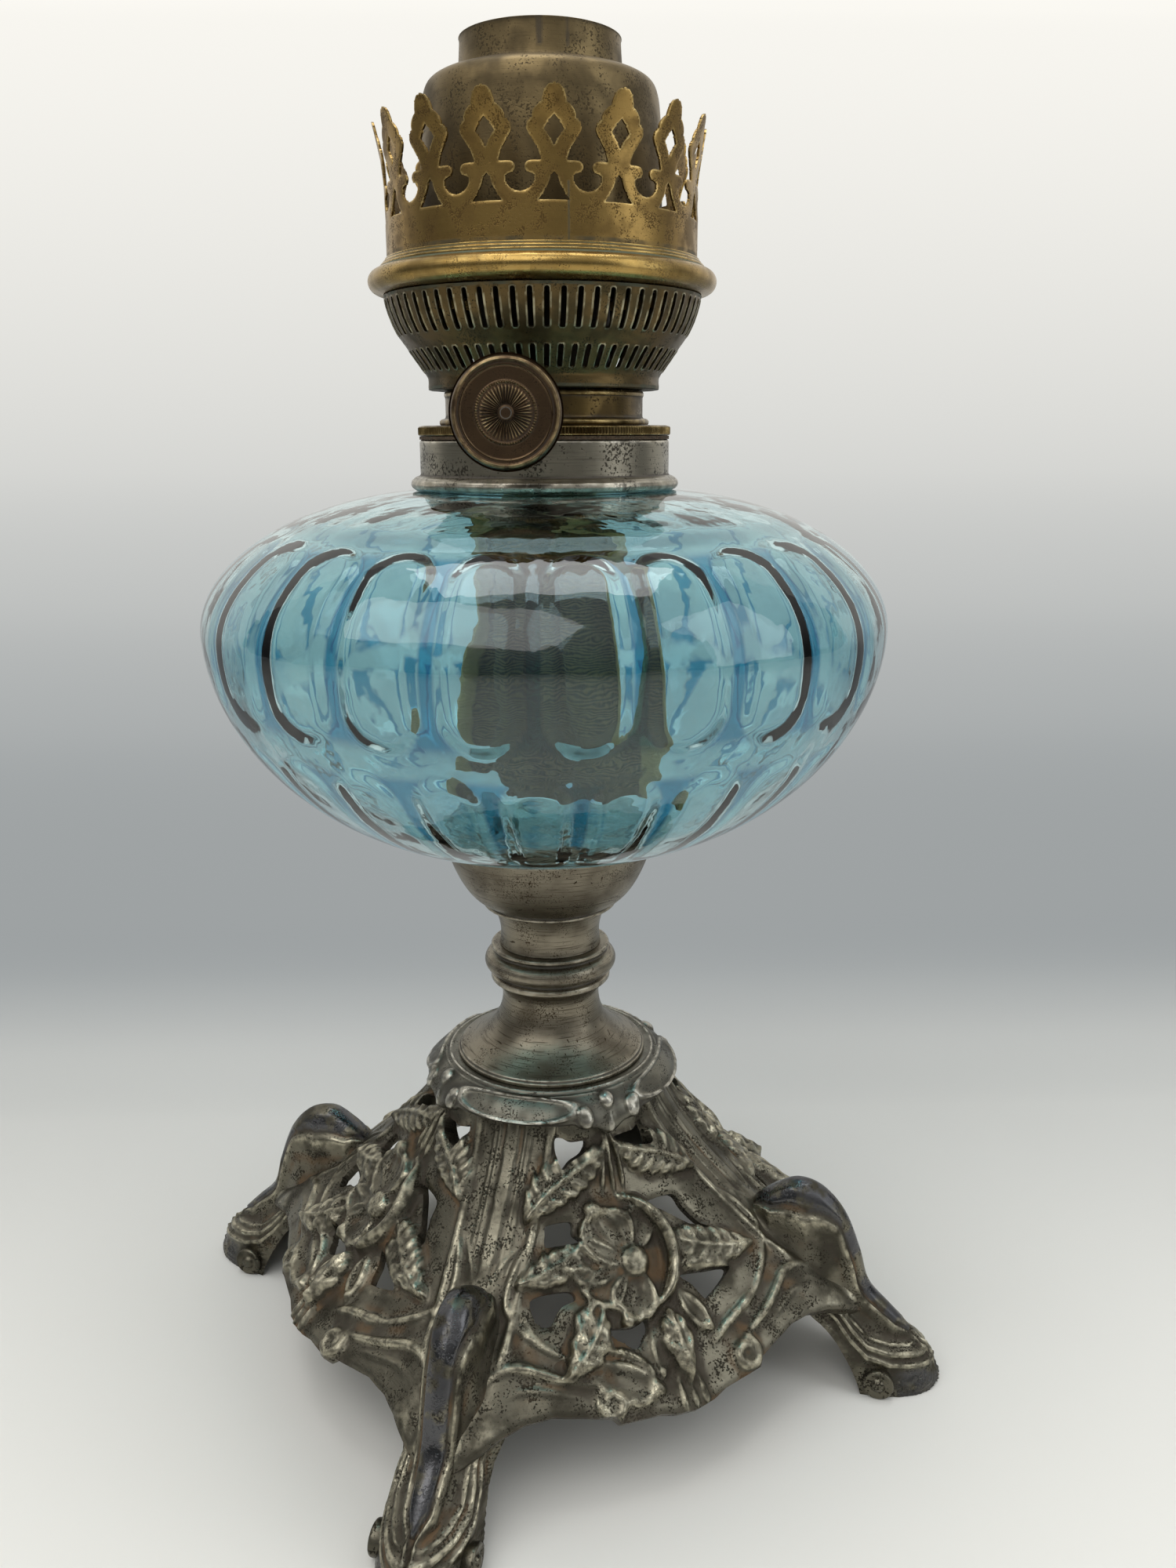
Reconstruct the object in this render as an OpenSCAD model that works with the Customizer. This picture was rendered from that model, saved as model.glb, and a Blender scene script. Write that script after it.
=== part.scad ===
// Kerosene lamp: round-wick burner, optic glass font and cast openwork foot.
// Millimetres, +Z up. The origin is on the ground, under the lamp's axis.
// The four faces of the foot look along the X and Y axes and its legs stand on the diagonals.

/* [Foot casting] */
// Height of the casting up to the seat of the cap ring
base_h = 76.5; // [70:0.5:84]
// Radius of the casting at its top
base_top_r = 29.5; // [28:0.5:32]
// How far the lower lip of a face stands from the axis
lip_reach = 73.5; // [68:0.5:80]
// Height of the lower lip above the ground
lip_z = 23.5; // [21:0.5:28]
// Thickness of the cast wall
cast_wall = 2.4; // [2:0.1:3.2]
// How far the top of a leg's hump stands from the axis
hump_reach = 69; // [66:0.5:73]
// Height of the top of a leg's hump
hump_z = 53; // [50:0.5:56]
// How far a toe reaches from the axis
toe_reach = 108; // [103:0.5:113]
// Width of a leg at its middle
leg_w = 23; // [20:0.5:26]
// Thickness of the plate that closes the casting's top
base_plate_h = 3; // [2:0.5:5]
// How far the leaves and petals stand out
relief_h = 2.6; // [1.6:0.1:3.4]

/* [Cap ring] */
// Height of the cast ring between foot and stem
cap_h = 7; // [5:0.5:9]
// Largest radius of the cap ring
cap_r = 33.6; // [32.5:0.1:35]
// Radius of the opening in the cap ring
cap_bore_r = 21.5; // [20:0.5:23]

/* [Stem] */
// Radius of the bell's foot
bell_r = 25.3; // [24.5:0.1:26]
// Height of the bell
bell_h = 20.5; // [17:0.5:24]
// Narrowest radius of the bell's neck
bell_neck_r = 12.9; // [12:0.1:14]
// Largest radius of the knop
knop_r = 17.5; // [16.8:0.1:19]
// Height of the knop
knop_h = 10; // [8:0.5:12]
// Narrowest radius of the neck above the knop
neck_r = 12.8; // [12:0.1:14]
// Height of the neck above the knop
neck_h = 11; // [9:0.5:14]
// Radius at the foot of the cup
cup_foot_r = 15.2; // [14.6:0.1:16]
// Radius of the cup's rim
cup_r = 27.5; // [26:0.5:29]
// Height of the cup
cup_h = 18.5; // [16:0.5:21]
// Sheet thickness of the turned stem
stem_wall = 1.2; // [0.8:0.1:1.6]
// Radius of the tie rod
rod_r = 3; // [2.5:0.1:3.5]

/* [Glass font] */
// Largest radius of the font
font_r = 83.4; // [76:0.2:90]
// Height from the cup's rim to the widest line
font_lower_h = 56.2; // [48:0.2:62]
// Height from the widest line to the root of the neck
font_upper_h = 32.2; // [28:0.5:38]
// Thickness of the glass
glass_wall = 3.4; // [2.8:0.1:4.2]
// Number of optic ribs inside the glass
optic_ribs = 24; // [18:1:28]
// How far an optic rib stands into the font
optic_rib_h = 1.8; // [1:0.1:2.6]
// Inner radius of the glass neck
font_neck_r = 25; // [24:0.2:26]

/* [Collar] */
// Outer radius of the collar
collar_r = 30; // [29:0.1:31]
// Height of the collar from the glass to its top
collar_h = 11.6; // [10:0.2:14]
// Radius of the collar's threaded bore
collar_bore_r = 28.2; // [27.6:0.1:28.4]
// How far the collar's foot bead stands out
collar_bead = 2.4; // [1.6:0.1:3]
// Thickness of the cork washer
washer_h = 0.8; // [0.5:0.1:1.2]

/* [Burner] */
// Outer radius of the knurled ring
knurl_r = 30.3; // [29.6:0.1:31]
// Height of the knurled ring
knurl_h = 2.4; // [2:0.1:3.2]
// Number of ridges on the knurled ring
knurls = 120; // [90:2:150]
// Thread pitch between burner and collar
thread_pitch = 1.8; // [1.5:0.1:2]
// Length of the burner's threaded sleeve
sleeve_len = 6.4; // [6:0.2:7]
// Outer radius of the throat
throat_r = 23.6; // [23:0.1:24.2]
// Height of the throat
throat_h = 7.8; // [7:0.2:10]
// Outer radius at the basket's foot
basket_foot_r = 27.4; // [26.6:0.1:28.4]
// Outer radius at the basket's rim
basket_r = 37.2; // [36.4:0.1:38]
// Height of the basket
basket_h = 21; // [18:0.5:24]
// Number of air slots in each row
slots = 64; // [48:2:72]
// Width of an air slot
slot_w = 1.2; // [0.8:0.1:1.4]
// How far the bezel's rolled bead stands out beyond the crown
bezel_bead = 4.6; // [4:0.1:6]
// Height of the bezel with its moulding
bezel_h = 8; // [7:0.5:10]
// Sheet thickness of the burner
sheet = 0.6; // [0.5:0.05:0.8]

/* [Gallery crown] */
// Outer radius of the crown
crown_r = 36; // [35:0.1:36.6]
// Height of the plain band under the fleurs
band_h = 9.5; // [8:0.5:12]
// Height of a fleur above the band
fleur_h = 19.5; // [17:0.5:22]
// Number of fleurs
fleurs = 16; // [12:1:18]
// How far the tips bend outward
tip_flare = 2.3; // [1:0.1:3.5]

/* [Air deflector] */
// Outer radius of the dome
dome_r = 27.7; // [27:0.1:28.4]
// Height of the dome above the chimney seat
dome_h = 41; // [37:0.1:44]
// Radius of the open neck at its rim
mouth_r = 18.1; // [17.6:0.1:19]
// Height of the open neck
mouth_h = 8; // [6:0.5:10]

/* [Wick] */
// Radius of the wick tube, outside
wick_tube_r = 15.8; // [15.4:0.1:16.4]
// Radius of the inner draught tube, outside
draught_tube_r = 11.9; // [11.4:0.1:12.1]
// Thickness of the woven wick
wick_t = 2.3; // [1.9:0.1:2.5]
// Half width of the wick's tail at its lower end
tail_half_w = 30; // [26:0.5:34]
// How far the tail ends above the font's inner floor
tail_clear = 9; // [7:0.5:14]

/* [Wick winder] */
// Direction of the knob shaft, seen from above
shaft_turn = -118.5; // [-135:0.5:-105]
// How far the shaft passes beside the lamp's axis
shaft_offset = 6.5; // [6:0.1:7]
// Radius of the knob shaft
shaft_r = 1.25; // [1:0.05:1.4]
// How far the knob's back stands from the shaft's nearest point to the axis
knob_reach = 43; // [41:0.5:48]
// Radius of the knob
knob_r = 12; // [10.5:0.1:13]
// Thickness of the knob
knob_t = 3.2; // [2.4:0.1:4]
// Number of teeth on a feed wheel
wheel_teeth = 16; // [12:1:20]

/* [Hidden] */

$fn = 96;

// Clearances
turn_gap = 0.08;          // between a turning piece and its bore
seat_gap = 0.02;          // between pieces that are soldered or pressed together
rebate_h = 0.4;           // how far the dome's flange lies below the chimney's seat
soft_gap = 0.3;           // between the wick and the metal round it

// Heights, from the ground up
cap_z = base_h;
bell_z = cap_z + cap_h;
knop_z = bell_z + bell_h;
neck_z = knop_z + knop_h;
cup_z = neck_z + neck_h;
font_z = cup_z + cup_h;                       // the cup's rim, under the glass
font_mid_z = font_z + font_lower_h;
font_top_z = font_mid_z + font_upper_h;
collar_top_z = font_top_z + collar_h;
ring_z = collar_top_z + washer_h;             // underside of the knurled ring
throat_z = ring_z + knurl_h;
basket_z = throat_z + throat_h;
basket_top_z = basket_z + basket_h;
seat_z = basket_top_z + bezel_h * 0.72;       // top of the chimney seat
crown_z = basket_top_z + bezel_h;             // foot of the crown's plain band
fleur_z = crown_z + band_h;
shaft_z = throat_z + 2.3;                     // axis of the knob shaft
dome_z = seat_z - rebate_h;                   // foot of the dome, in the seat's rebate
mouth_z = dome_z + dome_h;                    // foot of the open neck
mouth_top_z = mouth_z + mouth_h;

// A curve through three points by the quadratic Bezier rule
function bend(a, b, c, n) = [for (i = [0:n]) let (u = i / n) a * (1 - u) * (1 - u) + 2 * b * u * (1 - u) + c * u * u];
// Points along an arc, as radius and height
function arc(r, z, size, from, to, n) = [for (i = [0:n]) let (w = from + (to - from) * i / n) [r + size * cos(w), z + size * sin(w)]];
function unit(v) = v / norm(v);
function ease(u) = let (w = max(0, min(1, u))) w * w * (3 - 2 * w);

// A profile closed by the same line moved inward by the wall, level at both ends
function walled(profile, wall) = let (n = len(profile) - 1) concat(profile, [for (i = [n:-1:0])
    let (along = unit(profile[min(i + 1, n)] - profile[max(i - 1, 0)]), level = i == 0 || i == n)
    [profile[i][0] - wall * (level ? 1 : along[1]), profile[i][1] + (level ? 0 : wall * along[0])]]);
// A profile moved to another foot height
function raised(profile, z) = [for (q = profile) [q[0], q[1] + z]];

// Turns a profile, given as radius and height, about the lamp's axis
module turned(profile) {
    rotate_extrude() polygon(profile);
}

// A ring given by its radii, its foot and its height
module ring(r_out, r_in, z, h) {
    turned([[r_in, z], [r_out, z], [r_out, z + h], [r_in, z + h]]);
}

// Places a child, built along +Z, on the knob shaft at a distance out from the lamp's axis
module on_shaft(out) {
    rotate([0, 0, shaft_turn]) translate([out, -shaft_offset, shaft_z]) rotate([0, 90, 0]) children();
}

// Foot casting: the form of its four faces.
// A point on a face is given by how far it lies to the right of the face's middle and how far
// it lies below the casting's top, both measured along the surface, and by its height above it.
face_len = 69;            // from the casting's top to the lip, down the middle of a face
face_sweep = 1.43;        // how the middle of a face curves outward
corner_top_r = base_top_r + 0.5;
corner_reach = lip_reach * 1.143;  // the corners reach further out than the faces
corner_sweep = 1.34;      // how the corners curve outward
fall = base_h - lip_z;
swing = lip_reach - base_top_r;

function face_share(d) = pow(max(d, 0) / face_len, 0.9);
function face_s(t) = base_top_r + swing * pow(t, face_sweep);
function corner_s(t) = corner_top_r + (corner_reach - corner_top_r) * pow(t, corner_sweep);
function squareness(t) = 1 / (0.5 + ln(face_s(t) / corner_s(t)) / ln(2));

function face_point(a, d) =
    let (t = face_share(d), s = face_s(t), p = squareness(t))
    [a, -pow(max(pow(s, p) - pow(abs(a), p), 0.001), 1 / p), base_h - fall * t];
function face_normal(a, d) =
    let (t = face_share(d), p = squareness(t), q = face_point(a, d))
    let (plan = unit([sign(a) * pow(abs(a), p - 1), -pow(-q[1], p - 1)]))
    unit([plan[0] * fall, plan[1] * fall, swing * face_sweep * pow(max(t, 0.01), face_sweep - 1)]);
function on_face(a, d, h) = face_point(a, d) + face_normal(a, d) * h;

// The lower edge of a face: a hanging lip and an arch on each side
lip_lobes = [[0, 71.5], [10, 69.8], [20, 68.6], [30, 64.8], [40, 65], [50, 67.5], [60, 67.5]];
function lip_d(a) = lookup(abs(a), lip_lobes);

// Wall of the casting, as rings of points round the axis
side_steps = 10;
down_steps = 7;
function wall_point(k, i, sink) =
    let (side = floor(k / side_steps), u = 2 * (k % side_steps) / side_steps - 1)
    let (d = i / down_steps * lip_d(u * corner_reach / sqrt(2)), t = face_share(d), a = u * corner_s(t) / sqrt(2))
    let (q = on_face(a, d, -sink), w = 90 * side)
    [q[0] * cos(w) - q[1] * sin(w), q[0] * sin(w) + q[1] * cos(w), q[2]];

module cast_wall_shell() {
    round_steps = 4 * side_steps;
    rings = down_steps + 1;
    outside = [for (i = [0:down_steps], k = [0:round_steps - 1]) wall_point(k, i, 0)];
    inside = [for (i = [0:down_steps], k = [0:round_steps - 1]) wall_point(k, i, cast_wall)];
    shift = rings * round_steps;
    function at(i, k) = i * round_steps + k % round_steps;
    polyhedron(
        points = concat(outside, inside),
        faces = concat(
            [for (i = [0:down_steps - 1], k = [0:round_steps - 1]) each [
                [at(i, k), at(i, k + 1), at(i + 1, k + 1)],
                [at(i, k), at(i + 1, k + 1), at(i + 1, k)],
                [shift + at(i, k), shift + at(i + 1, k + 1), shift + at(i, k + 1)],
                [shift + at(i, k), shift + at(i + 1, k), shift + at(i + 1, k + 1)]]],
            [for (k = [0:round_steps - 1]) each [
                [at(0, k), shift + at(0, k + 1), at(0, k + 1)],
                [at(0, k), shift + at(0, k), shift + at(0, k + 1)],
                [at(down_steps, k), at(down_steps, k + 1), shift + at(down_steps, k + 1)],
                [at(down_steps, k), shift + at(down_steps, k + 1), shift + at(down_steps, k)]]]));
}

// A closed solid between a grid of points and the two rows of its edges, sunk below
module embossed(top, low) {
    rows = len(top);
    cols = len(top[0]);
    last = rows * cols;
    function at(i, j) = i * cols + j;
    polyhedron(
        points = concat([for (row = top) each row], [for (pair = low) each pair]),
        faces = concat(
            [for (i = [0:rows - 2], j = [0:cols - 2]) each [
                [at(i, j), at(i, j + 1), at(i + 1, j + 1)],
                [at(i, j), at(i + 1, j + 1), at(i + 1, j)]]],
            [for (i = [0:rows - 2]) each [
                [last + 2 * i, last + 2 * i + 2, last + 2 * i + 3],
                [last + 2 * i, last + 2 * i + 3, last + 2 * i + 1],
                [at(i, 0), at(i + 1, 0), last + 2 * i + 2],
                [at(i, 0), last + 2 * i + 2, last + 2 * i],
                [at(i, cols - 1), last + 2 * i + 3, at(i + 1, cols - 1)],
                [at(i, cols - 1), last + 2 * i + 1, last + 2 * i + 3]]],
            [for (j = [0:cols - 2]) each [
                [last, at(0, j + 1), at(0, j)],
                [last + 2 * rows - 2, at(rows - 1, j), at(rows - 1, j + 1)]]],
            [[last, last + 1, at(0, cols - 1)],
             [last + 2 * rows - 2, at(rows - 1, cols - 1), last + 2 * rows - 1]]));
}

// Ornament on a face, from a grid of [to the right, down, height]
module face_relief(grid) {
    sink = cast_wall * 0.7;
    embossed(
        [for (row = grid) [for (q = row) on_face(q[0], q[1], q[2])]],
        [for (row = grid) [on_face(row[0][0], row[0][1], -sink),
                           on_face(row[len(row) - 1][0], row[len(row) - 1][1], -sink)]]);
}

// A leaf or petal from its root to its tip, with the heights of its edge and of its midrib
module leaf(root, tip, width, edge_h, rib_h, curl = 0) {
    along = unit(tip - root);
    right = [along[1], -along[0]];
    length = norm(tip - root);
    outline = [[0, 0.25, 0.7], [0.35, 1, 1], [0.75, 0.72, 0.9], [1, 0.1, 0.4]];
    face_relief([for (cut = outline) let (
        middle = root + along * length * cut[0] + right * curl * sin(180 * cut[0]))
        [for (j = [-1:1]) let (q = middle + right * width / 2 * cut[1] * j)
            [q[0], q[1], cut[2] * (j == 0 ? rib_h : edge_h)]]]);
}

// A raised ridge along a path. Its width and height fade to a share of their own at each end.
module ridge(path, width, height, start = 0.4, end = 0.4) {
    n = len(path) - 1;
    face_relief([for (i = [0:n]) let (
        along = unit(path[min(i + 1, n)] - path[max(i - 1, 0)]),
        right = [along[1], -along[0]],
        size = min(1, start + (1 - start) * 3 * i / n, end + (1 - end) * 3 * (n - i) / n))
        [for (j = [-1:1]) let (q = path[i] + right * width / 2 * size * j)
            [q[0], q[1], height * size * (j == 0 ? 1 : 0.15)]]]);
}

// A hole through a face, from an outline of [to the right, down] points
module face_hole(outline) {
    n = len(outline);
    out = cast_wall + relief_h;
    polyhedron(
        points = concat([for (q = outline) on_face(q[0], q[1], out)], [for (q = outline) on_face(q[0], q[1], -2 * cast_wall)]),
        faces = concat(
            [[for (i = [0:n - 1]) i]], [[for (i = [n - 1:-1:0]) n + i]],
            [for (i = [0:n - 1]) let (k = (i + 1) % n) each [[i, n + i, n + k], [i, n + k, k]]]));
}

// The holes of a face, clockwise as seen from outside
holes = [
    [[-14, 4.5], [-6, 5.5], [-14.5, 11]],
    [[4, 5.5], [12, 5], [12, 11.5]],
    [[-22, 24], [-15, 23.5], [-15, 28], [-23, 29.5]],
    [[6, 24.5], [15, 24.5], [21, 34]],
    [[-30, 40], [-20, 40], [-22, 45.5], [-30, 46]],
    [[9, 43], [22, 45.5], [13, 50.5]],
    [[-15, 49.5], [-5, 50], [-9, 56]]
];

// Leaves, flower, bud and scrolls of one face
module face_ornament() {
    low = 0.3;
    mid = relief_h * 0.55;
    high = relief_h;
    // leaf fan under the drip
    leaf([-3, 8], [-25, 22.5], 12, low, high, -2);
    leaf([2, 8], [21, 21], 14, low, high, 1.5);
    ridge([[-0.5, 6], [-2, 13], [-3, 19.5]], 4, high);
    // flower: petals, one rolled petal and the boss
    leaf([-4, 37], [-9, 23.5], 15, high, mid);
    leaf([-5, 37], [-20.5, 33], 12, high, mid);
    leaf([-4, 38], [-15, 48], 13, high, mid);
    ridge([[-3, 21.5], [4, 26], [6.5, 34], [0, 48]], 4, 2 * high, 0.3, 0.6);
    translate(on_face(-3, 37, mid)) sphere(r = 3.6, $fn = 8);
    // leaves at the sides
    leaf([-17, 31], [-31, 35], 9, low, high);
    leaf([7, 34], [30, 42], 11, low, high, -1);
    leaf([-18, 48], [-28, 57], 9, low, 1.4 * high);
    // bud, shell and the lower scrolls
    leaf([0, 50], [0, 67], 11, mid, 1.5 * high);
    leaf([-22, 55], [-8, 66], 9, high, low);
    for (side = [-1, 1])
        ridge([[side * 20, 62], [side * 33, 56], [side * 49, 63.5]], 2.6, high, 0.4, 0.9);
}

// Corner ribs: a flat band beside each edge of a face
module corner_ribs() {
    for (side = [-1, 1])
        ridge([for (i = [0:3]) let (d = 1 + i * 15, edge = corner_s(face_share(d)) / sqrt(2))
            [side * (edge - 1.2), d]], 2.4, 1.2, 0.9, 0.7);
}

// Leg: the line of its ridge and the line of its side edges, as reach from the axis and height, with half widths
leg_outer = [
    [hump_reach - 12.8, hump_z - 7.8], [hump_reach - 4.5, hump_z - 1.8], [hump_reach + 0.5, hump_z + 0.2],
    [hump_reach + 6.5, hump_z - 1.8], [hump_reach + 12, hump_z - 8], [hump_reach + 16, hump_z - 18],
    [toe_reach - 20, 25.5], [toe_reach - 12.7, 18], [toe_reach - 4, 9], [toe_reach - 0.2, 3], [toe_reach - 0.2, 0]
];
leg_inner = [
    [hump_reach - 12.8, 40], [hump_reach - 7, 36], [hump_reach - 3, 31.5],
    [hump_reach + 1, 27], [hump_reach + 4.5, 23.5], [hump_reach + 7, 20.8],
    [toe_reach - 29.3, 17.5], [toe_reach - 26.8, 13.5], [toe_reach - 24, 8], [toe_reach - 22, 3.2], [toe_reach - 21, 0]
];
leg_half = [7, 9.5, 11.5, 13, 13.5, 12.5, 11.5, 11.2, 11.6, 12, 12];
// Cross-sections of a leg: share of the half width and share of the way from ridge to side edge. The leg is a narrow
// ridge on steep flanks below its hump, and flat and broad at its toe.
ridge_section = [[0, 0], [0.28, 0.05], [0.45, 0.42], [0.62, 0.75], [0.82, 0.9], [1, 1]];
toe_section = [[0, 0], [0.28, 0.04], [0.45, 0.11], [0.62, 0.22], [0.82, 0.43], [1, 1]];
ridge_hollow = [[0.3, 0.55], [0.62, 0.9], [0.8, 1.02], [0.8, 1.4]];
toe_hollow = [[0.55, 0.28], [0.72, 0.6], [0.8, 1.02], [0.8, 1.4]];
toe_share = [1, 0.3, 0, 0, 0, 0, 0.15, 0.5, 0.85, 1, 1];

function leg_side(ridge, toe, i) = [for (k = [0:len(ridge) - 1]) ridge[k] * (1 - toe_share[i]) + toe[k] * toe_share[i]];
function both_sides(side) = concat([for (q = reversed(side)) [-q[0], q[1]]], [for (q = side) if (q[0] > 0) q]);
function leg_rows(ridge, toe, stations, sink = 0) = [for (i = stations)
    let (o = leg_outer[i], n = leg_inner[i], half = leg_half[i] * leg_w / 23, side = leg_side(ridge, toe, i))
    let (section = side[0][0] > 0 ? concat([for (q = reversed(side)) [-q[0], q[1]]], side) : both_sides(side))
    [for (q = section) let (at = o + (n - o) * q[1])
        [(at[0] + half * q[0]) * cos(45), (half * q[0] - at[0]) * cos(45), o[1] == 0 ? -sink : max(at[1], 0)]]];

// A closed solid through rows of points, each row a closed section
module lofted(rows, banded = false) {
    n = len(rows);
    c = len(rows[0]);
    function at(i, j) = i * c + j % c;
    // A band's end is closed from its one side to its other, any other end as one face
    function end_faces(i) = banded ? [for (j = [0:c / 2 - 2]) [at(i, j), at(i, j + 1), at(i, c - 2 - j), at(i, c - 1 - j)]]
        : [[for (j = [0:c - 1]) at(i, j)]];
    polyhedron(
        points = [for (row = rows) each row],
        faces = concat(
            [for (f = end_faces(0)) reversed(f)], end_faces(n - 1),
            [for (i = [0:n - 2], j = [0:c - 1]) each [
                [at(i, j), at(i + 1, j + 1), at(i + 1, j)],
                [at(i, j), at(i, j + 1), at(i + 1, j + 1)]]]));
}

// The scroll at each side of a toe
module toe_scroll(side) {
    r = 3.9;
    rotate([0, 0, -45]) hull() {
        translate([toe_reach - 15.5, side * 11.4, r]) rotate([90, 0, 0]) cylinder(r = r, h = 3, center = true, $fn = 8);
        translate([toe_reach - 9, side * 8.6, r * 0.9]) cube([3, 2, 3], center = true);
    }
}

module base_casting() {
    color("dimgray") difference() {
        union() {
            cast_wall_shell();
            translate([0, 0, base_h - base_plate_h])
                cylinder(r = base_top_r - cast_wall / 2, h = base_plate_h, $fn = 32);
            for (k = [0:3]) rotate([0, 0, 90 * k]) {
                lofted(leg_rows(ridge_section, toe_section, [0:10]));
                for (side = [-1, 1]) toe_scroll(side);
                face_ornament();
                corner_ribs();
            }
        }
        for (k = [0:3]) rotate([0, 0, 90 * k]) {
            lofted(leg_rows(ridge_hollow, toe_hollow, [4:10], 1));
            for (outline = holes) face_hole(outline);
        }
        translate([0, 0, base_h - 2 * base_plate_h]) cylinder(r = rod_r + 0.3, h = 3 * base_plate_h, $fn = 16);
        translate([0, 0, -1]) cylinder(r = 2 * toe_reach, h = 1, $fn = 4);
    }
}

// Cap ring: the moulding between foot and stem, with a drip over each face and a scroll panel over each leg
drip_w = 20;
drip_drop = 3.6;
panel_w = 33;
panel_h = 5.6;

module cap_panel(grow, out) {
    steps = 20;
    rotate([0, 0, 45]) translate([cap_bore_r, 0, cap_z + cap_h * 0.44]) rotate([90, 0, 90]) linear_extrude(out - cap_bore_r)
        polygon([for (i = [0:steps - 1]) let (w = 360 * i / steps)
            [(panel_w / 2 + grow) * cos(w), (panel_h / 2 + grow) * sin(w)]]);
}

module cap_ring() {
    slope = [[cap_r - 2.6, seat_gap], [cap_r - 0.6, 0.3], [cap_r, 1.1], [cap_r - 0.2, 2.2], [cap_r - 1.4, 3.6],
             [cap_r - 3, cap_h - 2.1], [cap_r - 4.4, cap_h - 1.1], [cap_r - 5.7, cap_h]];
    bore = [[cap_bore_r, cap_h], [cap_bore_r, seat_gap]];
    proud = [for (q = slope) [q[0] + 0.9, q[1] + 0.1]];
    drip_wall = [[cap_r - 1.9, 2], [cap_r - 1.5, -drip_drop], [cap_r + 0.3, -drip_drop + 0.4], [cap_r + 1, 1.2], [cap_r + 0.4, 3]];
    color("dimgray") difference() {
        union() {
            turned(raised(concat(slope, bore), cap_z));
            for (k = [0:3]) rotate([0, 0, 90 * k]) {
                intersection() {
                    turned(raised(concat(proud, bore), cap_z));
                    difference() {
                        cap_panel(0, cap_r + 2);
                        cap_panel(-1.3, cap_r + 3);
                    }
                }
                intersection() {
                    turned(raised(drip_wall, cap_z));
                    translate([cap_bore_r, 0, cap_z]) rotate([90, 0, 90]) linear_extrude(cap_r)
                        polygon([[-drip_w / 2, 3], [-drip_w / 2, 0], [-drip_w / 3, -drip_drop * 0.75], [0, -drip_drop],
                                 [drip_w / 3, -drip_drop * 0.75], [drip_w / 2, 0], [drip_w / 2, 3]]);
                }
                // boss at the head of a drip
                translate([cap_r - 1.2, 0, cap_z + 2.6]) sphere(r = 2.1);
            }
        }
        translate([0, 0, -cap_h]) cylinder(r = cap_bore_r, h = base_h + 3 * cap_h);
    }
}

// Stem: four turned pieces on one tie rod
module stem_bell() {
    shoulder = bend([bell_r - 0.7, 1.6], [bell_neck_r - 0.1, 6.4], [bell_neck_r, bell_h - 4], 10);
    color("slategray") turned(raised(walled(concat([[bell_r, seat_gap], [bell_r, 0.9]], shoulder,
        [[bell_neck_r + 0.6, bell_h - 2], [bell_neck_r + 2.3, bell_h]]), stem_wall), bell_z));
}

module stem_knop() {
    lip_r = knop_r - 1.6;
    groove_r = knop_r - 2.5;
    web_h = 2;
    color("slategray") difference() {
        turned(raised(concat(
            [[rod_r + turn_gap, seat_gap], [lip_r - 0.4, seat_gap], [lip_r, 0.4], [lip_r, 1.4], [lip_r - 0.3, 1.7],
             [groove_r, 2.1], [groove_r, 2.5]],
            arc(knop_r - 2.6, knop_h * 0.53, 2.6, -75, 75, 8),
            [[groove_r, knop_h - 1.9], [groove_r, knop_h - 1.5], [lip_r - 0.5, knop_h - 1.3],
             [lip_r - 0.2, knop_h - 0.9], [lip_r - 0.2, knop_h - 0.3], [lip_r - 0.5, knop_h],
             [rod_r + turn_gap, knop_h]]), knop_z));
        ring(groove_r - 2 * stem_wall, rod_r - 1, knop_z - 1, (knop_h - web_h) / 2 + 1);
        ring(groove_r - 2 * stem_wall, rod_r - 1, knop_z + (knop_h + web_h) / 2, knop_h);
    }
}

module stem_neck() {
    waist = bend([neck_r + 0.7, seat_gap], [neck_r - 0.7, neck_h * 0.46], [cup_foot_r, neck_h], 8);
    color("slategray") turned(raised(walled(waist, stem_wall), neck_z));
}

cup_floor_h = 1.6;
cup_boss_r = 6;
cup_boss_h = 6;
function cup_line() = concat(
    [[cup_foot_r, seat_gap], [cup_foot_r + 0.8, 0.4], [cup_foot_r + 0.8, 0.9]],
    bend([cup_foot_r + 0.5, 1.3], [cup_r - 5.5, cup_h * 0.42], [cup_r, cup_h], 8));

module font_cup() {
    color("slategray") union() {
        turned(raised(walled(cup_line(), stem_wall), cup_z));
        ring(cup_foot_r - stem_wall / 2, rod_r + seat_gap, cup_z + seat_gap, cup_floor_h);
        ring(cup_boss_r, rod_r + seat_gap, cup_z + seat_gap, cup_boss_h);
    }
}

module cup_plaster() {
    grip = bend([cup_foot_r + 0.5, 1.3], [cup_r - 5.5, cup_h * 0.42], [cup_r, cup_h], 8);
    floor_z = cup_boss_h + 1;
    color("gainsboro") intersection() {
        turned(raised(concat([[0, 0]], [for (q = grip) [q[0] - stem_wall * 1.4, q[1]]],
            [[cup_r - stem_wall * 1.4, cup_h + 1], [0, cup_h + 1]]), cup_z));
        translate([0, 0, cup_z + floor_z]) cylinder(r = cup_r, h = cup_h + glass_lift - floor_z - seat_gap);
    }
}

washer_z = base_h - base_plate_h - 1.5;
rod_nut_h = 5;
module tie_rod() {
    low = washer_z - rod_nut_h - 3;
    color("gray") translate([0, 0, low]) cylinder(r = rod_r, h = cup_z + cup_boss_h - low);
}

module tie_washer() {
    color("gray") ring(12, rod_r + seat_gap, washer_z, 1.5 - seat_gap);
}

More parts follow.
